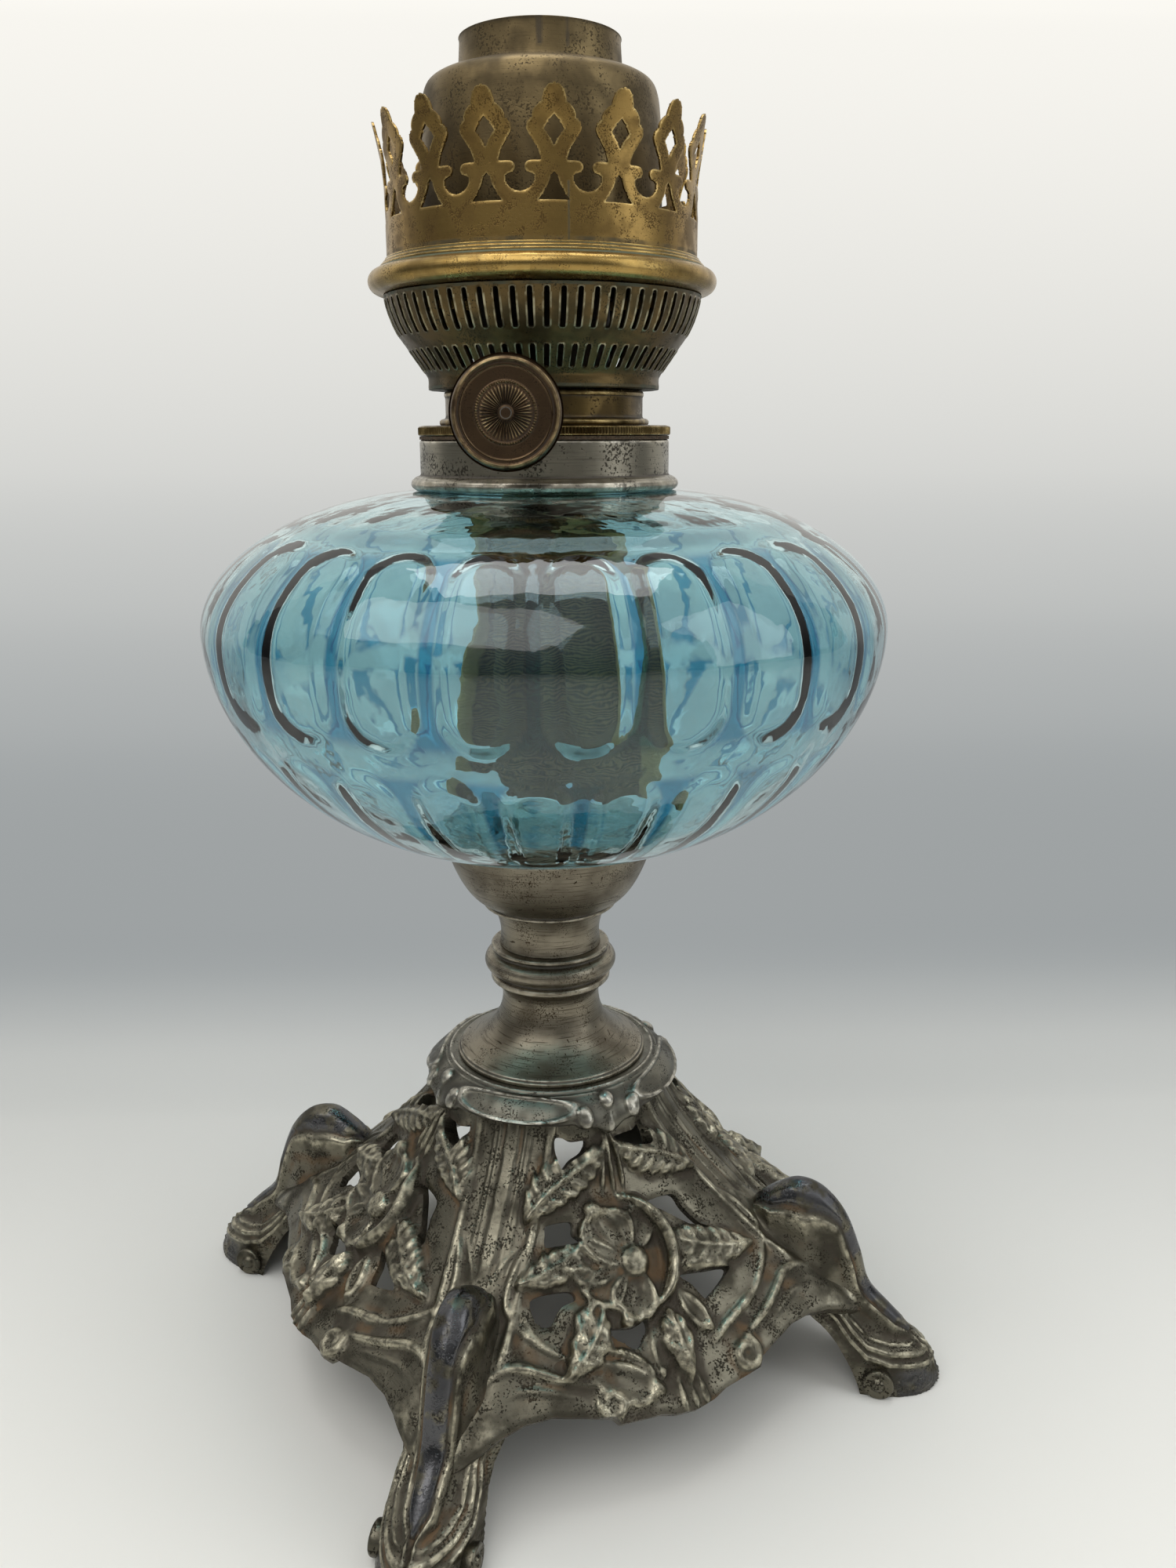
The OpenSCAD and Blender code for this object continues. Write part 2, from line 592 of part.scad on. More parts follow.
module tie_nut() {
    across = 10;
    color("gray") difference() {
        translate([0, 0, washer_z - rod_nut_h - seat_gap]) linear_extrude(rod_nut_h)
            polygon([for (i = [0:5]) across / sqrt(3) * [cos(60 * i), sin(60 * i)]]);
        translate([0, 0, washer_z - 2 * rod_nut_h]) cylinder(r = rod_r + seat_gap, h = 3 * rod_nut_h);
    }
}

// Glass font: a flattened round with a smooth outside and optic ribs inside
glass_lift = 0.5;          // bed of plaster between the cup's rim and the glass
glass_foot_r = 20;         // radius of the flat underside
neck_out_r = collar_r - 1.9;
lower_power = 1.88;
upper_power = 1.96;
function lower_line(cut) = [for (i = [0:14]) let (w = -90 + 90 * i / 14, reach = font_r - cut - glass_foot_r)
    [glass_foot_r + reach * pow(cos(w), 2 / lower_power), font_mid_z - (font_lower_h - glass_lift - cut) * pow(-sin(w), 2 / lower_power)]];
function upper_line(cut, end_r) = [for (i = [1:12]) let (w = 86.5 * i / 12, reach = font_r - cut - end_r)
    [end_r + reach * pow(cos(w), 2 / upper_power), font_mid_z + (font_upper_h - cut) * pow(sin(w), 2 / upper_power)]];
function cavity_line(cut) = concat(lower_line(cut), upper_line(cut, font_neck_r));

module optic_rib() {
    rib_w = 2.6;
    inside = cavity_line(glass_wall + optic_rib_h);
    within = cavity_line(glass_wall * 0.5);
    n = len(inside) - 1;
    rotate([90, 0, 0]) linear_extrude(rib_w, center = true) polygon(concat(
        [for (i = [3:n - 1]) within[i]], [for (i = [n - 1:-1:3]) inside[i]]));
}

module glass_font() {
    neck_top = font_top_z + 4.4;
    color("lightskyblue", 0.6) union() {
        difference() {
            turned(concat([[0, font_z + glass_lift]], lower_line(0), [for (q = upper_line(0, font_neck_r)) if (q[0] > neck_out_r + 1) q],
                [[neck_out_r, font_top_z], [neck_out_r, neck_top], [0, neck_top]]));
            turned(concat([[0, font_z + glass_lift + glass_wall]], cavity_line(glass_wall),
                [[font_neck_r, font_top_z], [font_neck_r, neck_top + 1], [0, neck_top + 1]]));
        }
        for (k = [0:optic_ribs - 1]) rotate([0, 0, 360 * (k + 0.5) / optic_ribs]) optic_rib();
    }
}

// Collar on the glass, with its cement and the burner's cork washer
collar_socket_r = collar_r - 0.8;
cement_top_z = font_top_z + 4.6;
module font_collar() {
    foot = font_top_z + seat_gap;
    bead_r = collar_r + collar_bead;
    color("lightsteelblue") turned([
        [collar_socket_r, foot], [bead_r - 1, foot], [bead_r - 0.3, foot + 0.5], [bead_r, foot + 1.3], [bead_r - 0.3, foot + 2.2],
        [bead_r - 1.2, foot + 2.9], [collar_r + 0.2, foot + 3.3], [collar_r, foot + 3.6], [collar_r, collar_top_z - 0.5],
        [collar_r - 0.4, collar_top_z], [collar_bore_r, collar_top_z], [collar_bore_r, cement_top_z + 0.8],
        [collar_socket_r, cement_top_z + 0.3]]);
}

module collar_cement() {
    color("gainsboro") ring(collar_socket_r - seat_gap, neck_out_r + seat_gap, font_top_z + 0.2, cement_top_z - font_top_z - 0.2);
}

module sealing_washer() {
    color("peru") ring(collar_r, collar_bore_r + 0.1, collar_top_z + seat_gap, washer_h - 2 * seat_gap);
}

// Burner body
deck_h = 1;
deck_r = 22;               // where the ring's deck meets the tube plate
module knurled_ring() {
    sleeve_out_r = collar_bore_r - turn_gap;
    sleeve_in_r = sleeve_out_r - 1.1;
    knurl_depth = 0.45;
    core_r = knurl_r - 1.5 * knurl_depth;
    color("darkkhaki") union() {
        turned([[deck_r, throat_z - deck_h], [sleeve_in_r, throat_z - deck_h], [sleeve_in_r, ring_z - sleeve_len],
                [sleeve_out_r, ring_z - sleeve_len], [sleeve_out_r, ring_z], [core_r, ring_z],
                [core_r, throat_z - 0.2], [core_r - 0.2, throat_z], [deck_r, throat_z]]);
        translate([0, 0, ring_z + 0.3]) linear_extrude(knurl_h - 0.7) difference() {
            polygon([for (i = [0:2 * knurls - 1]) let (r = knurl_r - (i % 2) * knurl_depth, w = 180 * i / knurls)
                [r * cos(w), r * sin(w)]]);
            circle(r = sleeve_out_r + 1);
        }
    }
}

module tube_plate() {
    color("darkkhaki") ring(deck_r - seat_gap, wick_tube_r + seat_gap, throat_z - deck_h, deck_h);
}

sleeve_r = 2.1;            // radius of the tube that carries the knob shaft
sleeve_end = 28;           // how far out that tube ends
module burner_throat() {
    flange_r = throat_r + 1.5;
    foot = throat_z + seat_gap;
    color("darkkhaki") difference() {
        turned([[throat_r - sheet, foot], [flange_r - 0.3, foot], [flange_r, foot + 0.4], [flange_r, foot + 1], [flange_r - 0.4, foot + 1.4],
                [throat_r + 0.2, foot + 1.6], [throat_r, foot + 2], [throat_r, basket_z - seat_gap], [throat_r - sheet, basket_z - seat_gap]]);
        on_shaft(wick_tube_r) cylinder(r = sleeve_r + seat_gap, h = 2 * throat_r, $fn = 48);
    }
}

module draught_basket() {
    swell = basket_r - basket_foot_r;
    lower_slot = [0.2, 0.43];
    upper_slot = [0.57, 0.96];
    line = [[basket_foot_r, sheet], [basket_foot_r, basket_h * 0.12], [basket_foot_r + swell * 0.21, basket_h * 0.28],
            [basket_foot_r + swell * 0.47, basket_h * 0.45], [basket_foot_r + swell * 0.74, basket_h * 0.64],
            [basket_foot_r + swell * 0.9, basket_h * 0.81], [basket_r, basket_h]];
    color("olivedrab") difference() {
        union() {
            turned(raised(walled(line, sheet), basket_z));
            ring(basket_foot_r, throat_r - 2 * sheet, basket_z, sheet);
        }
        for (k = [0:slots - 1], row = [lower_slot, upper_slot]) rotate([0, 0, 360 * (k + 0.5) / slots])
            translate([basket_foot_r - 3 * sheet, -slot_w / 2, basket_z + basket_h * row[0]])
                cube([swell + 6 * sheet, slot_w, basket_h * (row[1] - row[0])]);
    }
}

seat_h = 0.8;
crown_wall = 0.6;
module bezel_ring() {
    inside = crown_r - crown_wall;
    bead_r = max(crown_r + bezel_bead, basket_r + bezel_bead - 1.2);
    high = bezel_h;
    color("gold") turned(raised([
        [basket_r - sheet, seat_gap], [bead_r - 2, high * 0.04], [bead_r - 0.7, high * 0.17], [bead_r, high * 0.4],
        [bead_r - 0.3, high * 0.58], [bead_r - 1.4, high * 0.7], [crown_r + 2, high * 0.74], [crown_r + 1.6, high * 0.79],
        [crown_r + 1.6, high * 0.88], [crown_r + 1, high * 0.94], [crown_r + 0.9, high - seat_gap],
        [inside, high - seat_gap], [inside, high * 0.62 - seat_h], [basket_r - sheet, high * 0.3]], basket_top_z));
}

// Chimney seat: a ledge for the glass chimney, stepped down inside for the flange of the dome
seat_in_r = dome_r - 1.2;
dome_flange_r = dome_r + 1.8;
module chimney_seat() {
    seat_out_r = crown_r - crown_wall - seat_gap;
    rebate_r = dome_flange_r + turn_gap;
    color("goldenrod") turned([
        [seat_in_r, seat_z - 4], [seat_in_r + sheet, seat_z - 4], [seat_in_r + sheet, dome_z - seat_h],
        [rebate_r + seat_h, dome_z - seat_h], [rebate_r + seat_h, seat_z - seat_h], [seat_out_r, seat_z - seat_h],
        [seat_out_r, seat_z], [rebate_r, seat_z], [rebate_r, dome_z], [seat_in_r, dome_z]]);
}

// Gallery crown: a spun band, pierced and cut into fleurs whose tips bend outward
module crown_cut(outline) {
    translate([dome_r, 0, fleur_z]) rotate([90, 0, 90]) linear_extrude(crown_r) polygon(outline);
}

module gallery_crown() {
    pitch = 360 / fleurs;
    half = PI * crown_r / fleurs;
    u = fleur_h / 19.5;
    line = [[crown_r, seat_gap], [crown_r, band_h + 5 * u], [crown_r + tip_flare * 0.08, band_h + 8.5 * u],
            [crown_r + tip_flare * 0.34, band_h + 12.5 * u], [crown_r + tip_flare * 0.68, band_h + 16.5 * u],
            [crown_r + tip_flare, band_h + fleur_h]];
    // A gap from its round foot up past the two knobs, the waist, the shoulders and the three lobes of the fleur
    gap_side = [[0, -0.1], [1.9, 0.4], [2.8, 1.4], [half - 4, 2.4], [half - 4.7, 3.3], [half - 6, 4 * u], [half - 5.9, 4.9 * u],
                [half - 5.2, 5.6 * u], [half - 2.6, 5.7 * u], [half - 3.7, 8.2 * u], [half - 5, 10.3 * u], [half - 5.4, 11.9 * u],
                [half - 4.2, 13.4 * u], [half - 4.1, 14.7 * u], [half - 2.5, 16.2 * u], [half - 2.1, 17.5 * u],
                [half - 1.2, 18.9 * u], [half, fleur_h], [half, fleur_h + 2]];
    diamond = [[0, 8.6 * u], [1, 10 * u], [2.1, 11.3 * u], [1.1, 12.8 * u], [0, 14.1 * u],
               [-1.1, 12.8 * u], [-2.1, 11.3 * u], [-1, 10 * u]];
    keyhole = [[-3.3, -1.8], [3.3, -1.8], [1.4, 0.9], [0.6, 2.9], [0, 3.6], [-0.6, 2.9], [-1.4, 0.9]];
    color("darkgoldenrod") difference() {
        turned(raised(walled(line, crown_wall), crown_z));
        for (k = [0:fleurs - 1]) rotate([0, 0, pitch * k]) {
            rotate([0, 0, pitch / 2]) crown_cut(concat(gap_side, [for (i = [len(gap_side) - 1:-1:1]) [-gap_side[i][0], gap_side[i][1]]]));
            crown_cut(diamond);
            crown_cut(keyhole);
        }
    }
}

module air_deflector() {
    rise = dome_h / 41;
    color("tan") {
        turned(raised(walled([
            [dome_r, seat_gap], [dome_r, 17 * rise], [dome_r - 0.2, 27 * rise], [dome_r - 0.7, 35 * rise], [dome_r - 1.3, 37.8 * rise],
            [dome_r - 2.3, 39.5 * rise], [dome_r - 4.2, dome_h - 0.5], [dome_r - 6.6, dome_h], [mouth_r + 1.4, dome_h - 0.1],
            [mouth_r + 0.7, dome_h + 0.3], [mouth_r + 0.3, dome_h + 1.6], [mouth_r, dome_h + mouth_h - 0.6],
            [mouth_r + 0.2, dome_h + mouth_h]], sheet), dome_z));
        ring(dome_flange_r, dome_r - sheet, dome_z + seat_gap, sheet);
    }
}

tube_wall = 0.5;
tube_foot_z = throat_z - deck_h - 3.2;
duct_z = basket_z + 3;
duct_w = 5;
duct_h = 7;
gap_turn = shaft_turn - asin(shaft_offset / (wick_tube_r - 2));
module duct_box(from, to, w, h) {
    rotate([0, 0, gap_turn]) translate([from, -w / 2, duct_z + (duct_h - h) / 2]) cube([to - from, w, h]);
}

module outer_wick_tube() {
    tube_top_z = mouth_top_z - 1.4;
    color("goldenrod") difference() {
        ring(wick_tube_r, wick_tube_r - tube_wall, tube_foot_z, tube_top_z - tube_foot_z);
        duct_box(draught_tube_r, wick_tube_r + 2, duct_w + 2 * seat_gap, duct_h + 2 * seat_gap);
        on_shaft(wick_tube_r / 2) cylinder(r = sleeve_r + seat_gap, h = wick_tube_r, $fn = 48);
    }
}

module inner_draught_tube() {
    tube_top_z = mouth_top_z - 2;
    foot = duct_z - 1.4;
    bore_r = draught_tube_r - tube_wall;
    color("goldenrod") difference() {
        union() {
            translate([0, 0, foot]) cylinder(r = draught_tube_r, h = tube_top_z - foot);
            duct_box(bore_r, wick_tube_r + 0.8, duct_w, duct_h);
        }
        translate([0, 0, foot + tube_wall]) cylinder(r = bore_r, h = tube_top_z);
        duct_box(bore_r - 2, wick_tube_r + 2, duct_w - 2 * tube_wall, duct_h - 2 * tube_wall);
    }
}

// Wick winder: the shaft's tube is fixed to the burner, the rest turns with the knob
module shaft_sleeve() {
    start = sqrt(pow(wick_tube_r - tube_wall, 2) - pow(shaft_offset, 2)) + 0.4;
    color("darkkhaki") on_shaft(start) difference() {
        cylinder(r = sleeve_r, h = sleeve_end - start, $fn = 48);
        translate([0, 0, -1]) cylinder(r = shaft_r + turn_gap / 2, h = sleeve_end, $fn = 48);
    }
}

module wick_knob() {
    rim = knob_t * 0.35;
    color("saddlebrown") on_shaft(knob_reach) rotate_extrude() polygon([
        [shaft_r + seat_gap, -3], [2.6, -3], [2.6, -0.6], [3.2, 0], [knob_r - 1.2, 0.2], [knob_r - 0.3, 0.6], [knob_r, 1.2],
        [knob_r - 0.3, 2], [knob_r - 1.2, 2.4], [knob_r - 2, 2.1], [knob_r - 2.6, 1.6], [knob_r * 0.56, 1.7],
        [knob_r * 0.52, 2.3], [knob_r * 0.44, 2.3], [knob_r * 0.4, 1.8], [knob_r * 0.24, 1.9], [knob_r * 0.22, 2.8],
        [knob_r * 0.14, knob_t], [0, knob_t], [0, knob_t - rim], [shaft_r + seat_gap, knob_t - rim]]);
}

shaft_tail = 6.5;          // how far the shaft runs past its nearest point to the axis
wheel_seat = 4;            // where a feed wheel sits, to each side of that point
wheel_w = 1.2;
wheel_r = sqrt(pow(wick_tube_r - tube_wall - 0.55 - wick_t - soft_gap, 2) - pow(wheel_seat + wheel_w / 2, 2)) - shaft_offset - 0.1;
module knob_shaft() {
    color("gray") on_shaft(-shaft_tail)
        cylinder(r = shaft_r, h = knob_reach + knob_t * 0.65 - seat_gap + shaft_tail, $fn = 48);
}

module feed_wheels() {
    root_r = wheel_r - 1;
    star = [for (i = [0:2 * wheel_teeth - 1]) let (r = i % 2 == 0 ? wheel_r : root_r, w = 180 * i / wheel_teeth) [r * cos(w), r * sin(w)]];
    color("gray") on_shaft(0) difference() {
        union() {
            for (side = [-1, 1]) translate([0, 0, side * wheel_seat - wheel_w / 2]) linear_extrude(wheel_w) polygon(star);
            translate([0, 0, -wheel_seat]) cylinder(r = shaft_r + 0.9, h = 2 * wheel_seat, $fn = 48);
        }
        translate([0, 0, -2 * wheel_seat]) cylinder(r = shaft_r + seat_gap, h = 4 * wheel_seat, $fn = 48);
    }
}

module shaft_collar() {
    stop_r = shaft_z - throat_z - turn_gap;
    color("gray") on_shaft(sleeve_end + turn_gap) difference() {
        cylinder(r = stop_r, h = 2, $fn = 48);
        translate([0, 0, -1]) cylinder(r = shaft_r + seat_gap, h = 4, $fn = 48);
    }
}

// Wick: a woven band of one width, curled into a ring in its tube and opening into a folded tail in the font
wick_mid_r = (wick_tube_r - tube_wall + draught_tube_r) / 2;
wick_top_z = mouth_top_z - 2.4;
tail_z = font_z + glass_lift + glass_wall + tail_clear;
curl_z = tube_foot_z - 10;         // below this the ring opens
fold_z = curl_z - 9;               // below this the folds are full
open_z = curl_z - 21;              // below this the ring is quite open
folds = 2.5;                       // folds across the tail
fold_top = 86;                     // how steeply the folds turn where the tail is narrowest, in degrees
wick_turn = gap_turn + 180;
wick_steps = 30;
wick_drop = 4;             // how far the wick can be wound down
gap_z = duct_z + duct_h + wick_drop + 1;
wick_levels = concat([wick_top_z, gap_z + 14, gap_z + 2, duct_z - 10, curl_z],
    [for (i = [1:8]) curl_z + (open_z - curl_z) * i / 8], [for (i = [1:5]) open_z + (tail_z - open_z) * i / 5]);
// The folds flatten towards the lower end until the tail is as wide as it is named
fold_low = fold_top * sqrt(max(0.1, (1 - tail_half_w / 40.5) / (1 - 20.3 / 40.5)));

function total(v, i = 0) = i < len(v) ? v[i] + total(v, i + 1) : 0;
function gap_half(z) = 13 - 10 * ease((z - gap_z) / 14);
// Which way the band runs at a share across it and a height
function wick_angle(u, z) =
    let (opened = ease((curl_z - z) / (curl_z - open_z)), folded = ease((curl_z - z) / (curl_z - fold_z)),
         low = ease((open_z - z) / (open_z - tail_z)))
    (1 - opened) * u * (180 - gap_half(z)) + folded * (fold_top + (fold_low - fold_top) * low) * sin(180 * folds * u + 50 * low);

// The band's middle line at a height, as [outward, sideways]
function wick_line(z) =
    let (half = wick_mid_r * (180 - gap_half(z)) * PI / 180, step = 2 * half / wick_steps)
    let (path = [for (i = 0, q = [0, 0]; i <= wick_steps;
        q = q + step * [-sin(wick_angle((2 * i + 1) / wick_steps - 1, z)), cos(wick_angle((2 * i + 1) / wick_steps - 1, z))],
        i = i + 1) q])
    let (middle = path[wick_steps / 2], opened = ease((curl_z - z) / (curl_z - open_z)))
    let (centred = [for (q = path) q - middle + [wick_mid_r, 0]])
    let (drift = opened * total([for (q = centred) q[0]]) / (wick_steps + 1))
    [for (q = centred) q - [drift, 0]];

function wick_row(z, reach) = let (line = wick_line(z)) [for (j = [0:wick_steps])
    let (w = wick_angle(2 * j / wick_steps - 1, z), out = line[j][0] + reach * cos(w), side = line[j][1] + reach * sin(w))
    [out * cos(wick_turn) - side * sin(wick_turn), out * sin(wick_turn) + side * cos(wick_turn), z]];
function reversed(v) = [for (i = [len(v) - 1:-1:0]) v[i]];

module wick() {
    half = wick_t / 2;
    color("wheat") lofted([for (z = wick_levels) concat(wick_row(z, half), reversed(wick_row(z, -half)))], banded = true);
}

base_casting();
cap_ring();
stem_bell();
stem_knop();
stem_neck();
font_cup();
cup_plaster();
tie_rod();
tie_washer();
tie_nut();
glass_font();
font_collar();
collar_cement();
sealing_washer();
knurled_ring();
tube_plate();
burner_throat();
draught_basket();
bezel_ring();
chimney_seat();
gallery_crown();
air_deflector();
outer_wick_tube();
inner_draught_tube();
shaft_sleeve();
wick_knob();
knob_shaft();
feed_wheels();
shaft_collar();
wick();
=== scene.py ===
"""Kerosene lamp: the looks of its pieces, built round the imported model.

Sizes are in millimetres unless a name says otherwise, with +Z up and the origin on the ground under the
lamp's axis. The four faces of the foot look along the X and Y axes, and its legs stand on the diagonals.
"""
import logging
import math
from dataclasses import dataclass
from enum import Enum

import bpy
import numpy as np
from mathutils import Matrix


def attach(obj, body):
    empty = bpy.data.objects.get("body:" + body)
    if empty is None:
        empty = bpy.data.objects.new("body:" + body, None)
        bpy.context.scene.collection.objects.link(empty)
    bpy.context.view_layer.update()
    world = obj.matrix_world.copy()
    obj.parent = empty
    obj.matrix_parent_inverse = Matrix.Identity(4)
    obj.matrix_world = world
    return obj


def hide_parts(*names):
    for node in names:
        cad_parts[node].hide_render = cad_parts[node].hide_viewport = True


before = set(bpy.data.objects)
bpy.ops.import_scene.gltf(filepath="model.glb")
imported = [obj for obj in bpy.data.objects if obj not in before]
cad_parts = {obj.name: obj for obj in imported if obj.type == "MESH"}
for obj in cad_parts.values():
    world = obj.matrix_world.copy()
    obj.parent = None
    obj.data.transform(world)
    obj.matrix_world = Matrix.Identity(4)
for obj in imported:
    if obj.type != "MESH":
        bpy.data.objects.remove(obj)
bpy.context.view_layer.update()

MM = 0.001
log = logging.getLogger("lamp")


# Meshes


@dataclass
class Shape:
    """A mesh being made: points in millimetres, faces by point number, and what is known of each point.

    The relief says how far a point is raised or sunk, and the polish how much it has been rubbed smooth.
    """

    points: np.ndarray
    faces: list
    relief: np.ndarray
    polish: np.ndarray | None = None

    def moved(self, matrix: Matrix) -> "Shape":
        """The same shape moved by a matrix in millimetres."""
        turn = np.array(matrix)[:3, :3]
        return Shape(self.points @ turn.T + np.array(matrix)[:3, 3], self.faces, self.relief, self.polish)


def joined(shapes: list[Shape]) -> Shape:
    """Puts several shapes into one.

    Args:
        shapes: The shapes, each with its own point numbers.

    Returns:
        One shape that holds them all.
    """
    faces: list = []
    start = 0
    for shape in shapes:
        faces += [[start + int(i) for i in face] for face in shape.faces]
        start += len(shape.points)
    polish = np.concatenate([0 * s.relief if s.polish is None else s.polish for s in shapes])
    return Shape(np.vstack([s.points for s in shapes]), faces, np.concatenate([s.relief for s in shapes]), polish)


def grid_faces(rows: int, cols: int, round_rows: bool = False, round_cols: bool = False) -> np.ndarray:
    """Numbers the four points of each cell of a grid.

    Args:
        rows: How many rows of points there are.
        cols: How many points a row has.
        round_rows: Whether the last row joins the first.
        round_cols: Whether a row's last point joins its first.

    Returns:
        An array of cells with four point numbers each.
    """
    i = np.arange(rows if round_rows else rows - 1)[:, None]
    j = np.arange(cols if round_cols else cols - 1)[None, :]
    k, m = (i + 1) % rows, (j + 1) % cols
    return np.stack([i * cols + j + 0 * k, i * cols + m + 0 * k, k * cols + m, k * cols + j + 0 * m], -1).reshape(-1, 4)


def ease(share: np.ndarray | float) -> np.ndarray:
    """A smooth step from 0 to 1."""
    w = np.clip(share, 0.0, 1.0)
    return w * w * (3 - 2 * w)


def bend(a: tuple, b: tuple, c: tuple, steps: int) -> list[tuple]:
    """Points along the quadratic curve from a to c, drawn towards b."""
    return [tuple(p * (1 - u) ** 2 + 2 * q * u * (1 - u) + r * u * u for p, q, r in zip(a, b, c))
            for u in (i / steps for i in range(steps + 1))]


def smooth_path(path: list, steps: int = 6, closed: bool = False) -> np.ndarray:
    """Draws a smooth line through points.

    Args:
        path: The points, of two or three numbers.
        steps: How many pieces each stretch between two points gets.
        closed: Whether the line comes back to its start.

    Returns:
        The points of the smooth line.
    """
    p = np.array(path, float)
    n = len(p)
    out = []
    for i in range(n if closed else n - 1):
        if closed:
            a, b, c, d = p[(i - 1) % n], p[i], p[(i + 1) % n], p[(i + 2) % n]
        else:
            a, b, c, d = p[max(i - 1, 0)], p[i], p[i + 1], p[min(i + 2, n - 1)]
        for k in range(steps):
            u = k / steps
            out.append(0.5 * (2 * b + (c - a) * u + (2 * a - 5 * b + 4 * c - d) * u**2 + (3 * b - a - 3 * c + d) * u**3))
    if not closed:
        out.append(p[-1])
    return np.array(out)


def resampled(line: np.ndarray, count: int) -> np.ndarray:
    """Puts points at even distances along a line."""
    step = np.r_[0, np.cumsum(np.linalg.norm(np.diff(line, axis=0), axis=1))]
    at = np.linspace(0, step[-1], count)
    return np.stack([np.interp(at, step, line[:, k]) for k in range(line.shape[1])], -1)


def filleted(profile: list, radius: float = 0.3, spacing: float = 0.7) -> np.ndarray:
    """Rounds the corners of a closed profile and adds points along its long sides.

    Args:
        profile: The corners, as radius and height, counterclockwise.
        radius: How far a fillet reaches along its two sides.
        spacing: The longest stretch without a point.

    Returns:
        The rounded closed line.
    """
    p = np.array(profile, float)
    out = []
    for i in range(len(p)):
        before, here, after = p[i - 1], p[i], p[(i + 1) % len(p)]
        to, on = before - here, after - here
        long_to, long_on = np.linalg.norm(to), np.linalg.norm(on)
        if min(long_to, long_on) < 1e-6:
            continue
        straight = np.dot(to, on) / (long_to * long_on) < -0.985
        reach = 0.0 if straight else min(radius, 0.42 * long_to, 0.42 * long_on)
        first = here + to / long_to * reach
        if out:
            gap = np.linalg.norm(first - out[-1])
            pieces = max(1, int(gap / spacing))
            out += [out[-1] + (first - out[-1]) * k / pieces for k in range(1, pieces)]
        out += [np.array(q) for q in (bend(tuple(first), tuple(here), tuple(here + on / long_on * reach), 3)
                                      if reach else [tuple(here)])]
    return np.array(out)


def line_relief(line: np.ndarray, reach: float = 0.7) -> np.ndarray:
    """Says where a closed line is an outer corner, above 0, or an inner one, below 0.

    Args:
        line: The points of the line, counterclockwise.
        reach: The radius at which a bend counts fully, in millimetres.

    Returns:
        A number from -1 to 1 for each point.
    """
    to, on = line - np.roll(line, 1, 0), np.roll(line, -1, 0) - line
    turn = np.arctan2(to[:, 0] * on[:, 1] - to[:, 1] * on[:, 0], (to * on).sum(1))
    size = (np.linalg.norm(to, axis=1) + np.linalg.norm(on, axis=1)) / 2
    value = np.clip(turn / np.maximum(size, 0.08) * reach, -1, 1)
    return (np.roll(value, 1) + 2 * value + np.roll(value, -1)) / 4


def turned(profile: np.ndarray, steps: int = 144, wave: tuple[int, float, float, float] | None = None) -> Shape:
    """Turns a closed profile about the lamp's axis.

    Args:
        profile: The closed line, as radius and height, counterclockwise.
        steps: How many sides the turned piece has.
        wave: Ridges on it: their number, their depth, and the lowest and highest height that they reach.

    Returns:
        The turned shape.
    """
    angle = np.linspace(0, 2 * np.pi, steps, endpoint=False)
    r, z = profile[:, :1] + 0 * angle, profile[:, 1:] + 0 * angle
    relief = np.repeat(line_relief(profile)[:, None], steps, 1)
    if wave:
        count, depth, low, high = wave
        share = ease((z - low) / 0.15) * ease((high - z) / 0.15) * (r > profile[:, 0].max() - 2 * depth)
        ripple = 0.5 - 0.5 * np.cos(count * angle)
        r = r - depth * share * ripple
        relief = relief + share * (0.5 - ripple)
    points = np.stack([r * np.cos(angle), r * np.sin(angle), z], -1).reshape(-1, 3)
    return Shape(points, grid_faces(len(profile), steps, True, True).tolist(), relief.ravel())


def capped(r: np.ndarray, z: np.ndarray, ends: tuple[float, float], relief: np.ndarray) -> Shape:
    """Closes rings of points about the Z axis with one point on the axis at each end.

    Args:
        r: The radius of each point, ring by ring from the lower end out and up to the upper one.
        z: Its height.
        ends: The heights of the two points on the axis.
        relief: How far each point is raised or sunk.

    Returns:
        The closed shape.
    """
    rows, cols = r.shape
    angle = np.linspace(0, 2 * np.pi, cols, endpoint=False)
    rings = np.stack([r * np.cos(angle), r * np.sin(angle), z], -1).reshape(-1, 3)
    last = rows * cols
    faces = grid_faces(rows, cols, False, True).tolist()
    for j in range(cols):
        k = (j + 1) % cols
        faces += [[last, k, j], [last + 1, last - cols + j, last - cols + k]]
    points = np.vstack([rings, [(0, 0, ends[0]), (0, 0, ends[1])]])
    return Shape(points, faces, np.r_[relief.ravel(), relief[0].mean(), relief[-1].mean()])


def spun(line: np.ndarray, low: float, high: float, steps: int) -> Shape:
    """Turns an open line about the Z axis and closes it at the two heights given."""
    r = np.repeat(line[:, :1], steps, 1)
    z = np.repeat(line[:, 1:], steps, 1)
    return capped(r, z, (low, high), 0 * r)


